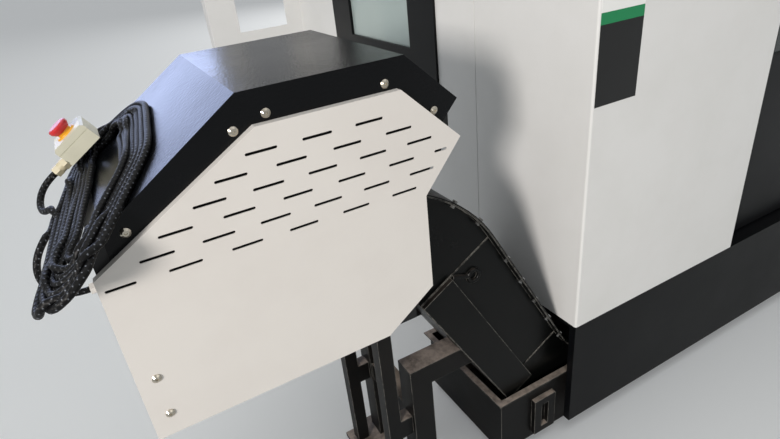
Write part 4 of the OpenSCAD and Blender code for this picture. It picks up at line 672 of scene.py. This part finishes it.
rubber = moulded("black epdm rubber", "#101112", 0.6, 1.0, 0.03)
SEAL_GAP = 0.0003
SEAL_T, SEAL_OUT, SEAL_W = 0.006, 0.004, 0.014
glass_low, glass_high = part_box("side_window_glass")
window_seal = seal(
    "side_window_seal",
    (glass_low[0] - SEAL_T, glass_low[1] - SEAL_OUT, glass_low[2] - SEAL_OUT),
    (glass_low[0] - SEAL_GAP, glass_high[1] + SEAL_OUT, glass_high[2] + SEAL_OUT), SEAL_W, 2.0)
place_piece(window_seal, "machine", rubber)
DOOR_SEAL_T, DOOR_SEAL_OUT, DOOR_SEAL_W = 0.007, 0.003, 0.016
for side in ("left", "right"):
    low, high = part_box(side + "_door_glass")
    door_seal = seal(
        side + "_door_seal",
        (low[0] - DOOR_SEAL_OUT, low[1] - DOOR_SEAL_T, low[2] - DOOR_SEAL_OUT),
        (high[0] + DOOR_SEAL_OUT, low[1] - SEAL_GAP, high[2] + DOOR_SEAL_OUT), DOOR_SEAL_W, 2.0)
    place_piece(door_seal, side + "_door", rubber)

# Operator's panel keys: low square keys of grey rubber with rounded edges, in two fields under
# the screen, and a thin bezel of dark plastic round the screen.
stop_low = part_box("panel_stop")[0]
knob_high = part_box("panel_knob")[1]
screen_low, screen_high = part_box("panel_screen")
KEY = 0.021
KEY_PITCH = 0.029
KEY_RISE = 0.003
BEZEL_OUT, BEZEL_T, BEZEL_W = 0.012, 0.004, 0.016
BEDDED = 0.0005
front = screen_low[1]
# Each field's first key from the left and from below, and its columns and rows.
fields = [
    (knob_high[0] + 0.030, 1.092, 7, 9),
    (stop_low[0] - 0.018, 1.205, 7, 5),
]
keys = []
for first_x, first_z, columns, rows in fields:
    key = slab(
        "key", (first_x, front - KEY_RISE, first_z),
        (first_x + KEY, front + BEDDED, first_z + KEY), 1.5, 2)
    keys += copied(key, [
        (column * KEY_PITCH, 0, row * KEY_PITCH)
        for row in range(rows) for column in range(columns) if row or column])
silicone = moulded("grey silicone keys", "#5d6165", 0.55, 1.2, 0.02)
place_piece(joined("panel_keys", keys), "panel", silicone)
bezel = seal(
    "screen_bezel", (screen_low[0] - BEZEL_OUT, front - BEZEL_T, screen_low[2] - BEZEL_OUT),
    (screen_high[0] + BEZEL_OUT, front + BEDDED, screen_high[2] + BEZEL_OUT), BEZEL_W, 1.5)
place_piece(bezel, "panel", moulded("black polycarbonate bezel", "#17181a", 0.38, 1.2, 0.02))

# Cabinet louvres: two banks of pressed hoods that let the drives' warm air out, each a bent strip
# that stands 9 mm off the door.
HOOD_LOW_X, HOOD_HIGH_X = 0.15, 0.55
HOOD_RISE, HOOD_H, HOOD_PITCH, HOOD_ROUND = 0.009, 0.013, 0.024, 0.0012
HOODS_A_BANK = 7
LOWER_BANK_Z, UPPER_BANK_Z = 0.520, 1.480
DOOR_BAR = 0.020
door_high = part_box("cabinet_door")[1]
door_face = door_high[1] - DOOR_BAR
hood = slab(
    "hood", (HOOD_LOW_X, door_face - BEDDED, LOWER_BANK_Z),
    (HOOD_HIGH_X, door_face + HOOD_RISE, LOWER_BANK_Z + HOOD_H))
shape = bmesh.new()
shape.from_mesh(hood.data)
for corner in shape.verts:
    if corner.co.y > door_face and corner.co.z > LOWER_BANK_Z + HOOD_H / 2:
        corner.co.y = door_face + BEDDED
shape.to_mesh(hood.data)
shape.free()
bevel = hood.modifiers.new("round", "BEVEL")
bevel.width = HOOD_ROUND
bevel.segments = 2
bpy.context.view_layer.objects.active = hood
bpy.ops.object.modifier_apply(modifier="round")
hoods = copied(hood, [
    (0, 0, bank + n * HOOD_PITCH)
    for bank in (0, UPPER_BANK_Z - LOWER_BANK_Z) for n in range(HOODS_A_BANK) if bank or n])
louvres = joined("cabinet_louvres", hoods)
place_piece(louvres, "cabinet_door", white_coat)

# Cabinet lock: a fixed bar of glass-filled polyamide that the door is pulled by, moulded over the
# door's own block, with its plate under it.
BAR_IN, BAR_W = 0.090, 0.030
BAR_LOW_Z, BAR_HIGH_Z = 1.020, 1.200
BAR_COVER = 0.0008
LOCK_PLATE_X, LOCK_PLATE_Z, LOCK_PLATE_T = 0.008, 0.012, 0.004
bar_low_x = door_high[0] - BAR_IN
bar_high_x = bar_low_x + BAR_W
lock_plate = slab(
    "lock_plate", (bar_low_x - LOCK_PLATE_X, door_face - BEDDED, BAR_LOW_Z - LOCK_PLATE_Z),
    (bar_high_x + LOCK_PLATE_X, door_face + LOCK_PLATE_T, BAR_HIGH_Z + LOCK_PLATE_Z), 1.8, 3)
lock_bar = slab(
    "lock_bar", (bar_low_x - BAR_COVER, door_face, BAR_LOW_Z - BAR_COVER),
    (bar_high_x + BAR_COVER, door_high[1] + BAR_COVER, BAR_HIGH_Z + BAR_COVER), 1.5, 3)
lock = joined("cabinet_lock", [lock_plate, lock_bar])
place_piece(lock, "cabinet_door", moulded("black polyamide", "#141516", 0.5, 1.2, 0.04))

# Inside the cabinet: a zinc-plated mounting plate on the back wall, six servo drives in dark
# grey polycarbonate, a row of contactors, a row of terminals, and slotted PVC wiring ducts. All
# are screwed or clipped to the plate. Corners are in metres; a slab's last two numbers are the
# rounding of its edges in millimetres and the steps of it.
back_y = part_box("cabinet")[0][1] + 0.003
plate_face = back_y + 0.010
on_plate = plate_face - 0.001
mounting = slab("mounting_plate", (-0.24, back_y - 0.0004, 0.50), (0.94, plate_face, 1.70), 1.0, 1)
zinc = bare_metal("zinc-plated sheet", "#b4b7b8", "#9c9f9f", 0.34, (14, 1, 1))
place_piece(mounting, "machine", zinc)

DRIVES, DRIVE_PITCH, DRIVE_X = 6, 0.125, 0.02
drive = slab("drive", (DRIVE_X, on_plate, 1.22), (DRIVE_X + 0.100, back_y + 0.205, 1.57), 3.0, 2)
lid = slab(
    "lid", (DRIVE_X + 0.012, back_y + 0.2, 1.40),
    (DRIVE_X + 0.088, back_y + 0.212, 1.55), 2.0, 2)
drive_offsets = [(n * DRIVE_PITCH, 0, 0) for n in range(1, DRIVES)]
drives = copied(drive, drive_offsets) + copied(lid, drive_offsets)
place_piece(joined("servo_drives", drives), "machine",
            moulded("dark grey polycarbonate", "#2c2f33", 0.45, 1.3, 0.05))

CONTACTORS, CONTACTOR_PITCH, CONTACTOR_X = 14, 0.064, -0.11
contactor = slab(
    "contactor", (CONTACTOR_X, on_plate, 0.93),
    (CONTACTOR_X + 0.045, back_y + 0.075, 1.02), 1.5, 2)
switch_head = slab(
    "switch_head", (CONTACTOR_X + 0.004, back_y + 0.07, 0.95),
    (CONTACTOR_X + 0.041, back_y + 0.095, 1.0), 1.5, 2)
contactor_offsets = [(n * CONTACTOR_PITCH, 0, 0) for n in range(1, CONTACTORS)]
TERMINALS, TERMINAL_PITCH, TERMINAL_X = 30, 0.028, -0.10
terminal = slab(
    "terminal", (TERMINAL_X, on_plate, 0.66),
    (TERMINAL_X + 0.024, back_y + 0.055, 0.72), 1.0, 1)
terminal_offsets = [(n * TERMINAL_PITCH, 0, 0) for n in range(1, TERMINALS)]
switchgear = copied(contactor, contactor_offsets) + copied(switch_head, contactor_offsets)
switchgear += copied(terminal, terminal_offsets)
place_piece(joined("contactors", switchgear), "machine",
            moulded("light grey polyamide", "#a9aba8", 0.5, 1.3, 0.05))

DUCT = 0.060
DUCT_LOW_X, DUCT_HIGH_X = -0.22, 0.92
duct_z = (0.52, 0.80, 1.10, 1.62)
level = slab(
    "duct", (DUCT_LOW_X, on_plate, duct_z[0]),
    (DUCT_HIGH_X, back_y + 0.070, duct_z[0] + DUCT), 2.0, 1)
upright = slab(
    "duct", (DUCT_LOW_X, back_y + 0.0095, 0.575),
    (DUCT_LOW_X + DUCT, back_y + 0.0695, 1.625), 2.0, 1)
ducts = copied(level, [(0, 0, z - duct_z[0]) for z in duct_z[1:]])
ducts += copied(upright, [(DUCT_HIGH_X - DUCT - DUCT_LOW_X, 0, 0)])
place_piece(joined("wiring_ducts", ducts), "machine",
            moulded("grey pvc duct", "#8d9396", 0.5, 2.0, 0.05))

# Floor: a plain pale sheet with a dull coat, far larger than the machine. A little light of its own
# that only the camera sees brings it near the sky's brightness.
FLOOR_SIZE = 60
FLOOR_LIFT = 0.16
bpy.ops.mesh.primitive_plane_add(size=FLOOR_SIZE)
floor = bpy.context.object
floor.name = "floor"
pale, shader = new_material("pale studio floor")
shader.inputs["Base Color"].default_value = linear("#e9eae8")
shader.inputs["Roughness"].default_value = 0.8
lift = add(pale, "ShaderNodeMath", {
    0: add(pale, "ShaderNodeLightPath").outputs["Is Camera Ray"],
    1: FLOOR_LIFT}, operation="MULTIPLY")
shader.inputs["Emission Color"].default_value = linear("#e4e6e8")
pale.node_tree.links.new(lift.outputs[0], shader.inputs["Emission Strength"])
floor.data.materials.append(pale)

# Sky: a soft grey all round that lights the machine. Seen straight, mirrored or through glass, it
# is the pale grey of the floor instead.
world = bpy.data.worlds.new("studio")
scene.world = world
world.use_nodes = True
tree = world.node_tree
back = tree.nodes["Background"]
back.inputs["Color"].default_value = linear("#d9dde2")
back.inputs["Strength"].default_value = 0.5
seen = tree.nodes.new("ShaderNodeBackground")
seen.inputs["Color"].default_value = linear("#e4e6e8")
seen.inputs["Strength"].default_value = 0.66
ray = tree.nodes.new("ShaderNodeLightPath")
either = tree.nodes.new("ShaderNodeMath")
either.operation = "MAXIMUM"
both = tree.nodes.new("ShaderNodeMath")
both.operation = "MAXIMUM"
pick = tree.nodes.new("ShaderNodeMixShader")
tree.links.new(ray.outputs["Is Camera Ray"], either.inputs[0])
tree.links.new(ray.outputs["Is Glossy Ray"], either.inputs[1])
tree.links.new(either.outputs[0], both.inputs[0])
tree.links.new(ray.outputs["Is Transmission Ray"], both.inputs[1])
tree.links.new(both.outputs[0], pick.inputs[0])
tree.links.new(back.outputs[0], pick.inputs[1])
tree.links.new(seen.outputs[0], pick.inputs[2])
tree.links.new(pick.outputs[0], tree.nodes["World Output"].inputs["Surface"])


# Light: one strong window on the left, placed by the photo's shadows, and soft area lamps for the
# hall's other windows and its roof lights. Each has its place, what it is aimed at, its size in
# metres and its power in watts.
def lamp(name, place, aim, size, power, colour="#ffffff"):
    """A rectangular lamp that the camera doesn't see, turned to what it is aimed at."""
    data = bpy.data.lights.new(name, "AREA")
    data.shape = "RECTANGLE"
    data.size, data.size_y = size
    data.energy = power
    data.color = linear(colour)[:3]
    light = bpy.data.objects.new(name, data)
    light.visible_camera = False
    scene.collection.objects.link(light)
    way = Vector(aim) - Vector(place)
    turned = way.to_track_quat("-Z", "Y").to_matrix().to_4x4()
    light.matrix_world = Matrix.Translation(place) @ turned
    return light


left_window = lamp(
    "left window", (-6.6, -4.7, 2.6), (-1.0, -0.8, 0.9), (1.3, 1.3), 390, "#fff9f4")
rear_window = lamp(
    "rear window", (-2.6, 8.2, 3.0), (-1.5, -0.7, 1.2), (6.1, 3.4), 240, "#bfd0ff")
lamp("front window", (1.0, -5.5, 3.4), (0.0, 0.0, 0.9), (4.0, 3.0), 30, "#fffaf2")
lamp("rear fill", (4.8, 8.6, 4.4), (0.0, 0.6, 0.9), (4.0, 3.0), 240, "#fdfdff")
lamp("overhead", (-0.5, -0.5, 5.2), (-0.5, 0.0, 0.0), (6.0, 5.0), 75)

# The left window stands near the floor and would leave a bright pool on it, so it lights the
# rest only. The rear window is there for the gloss of the head's cover, and lights only what is
# round it.
unlit = bpy.data.collections.new("all but the floor")
unlit.objects.link(floor)
unlit.collection_objects[0].light_linking.link_state = "EXCLUDE"
left_window.light_linking.receiver_collection = unlit
glossy = bpy.data.collections.new("round the conveyor's head")
for name in ("head_cover", "head_housing", "guard_panel", "cover_screws", "stop_box", "stop_collar",
             "stop_button", "cable_gland", "conveyor_stand", "conveyor_trough", "coolant_tank"):
    glossy.objects.link(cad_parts[name])
glossy.objects.link(cable)
rear_window.light_linking.receiver_collection = glossy

scene.view_settings.view_transform = "Standard"
bpy.context.view_layer.update()
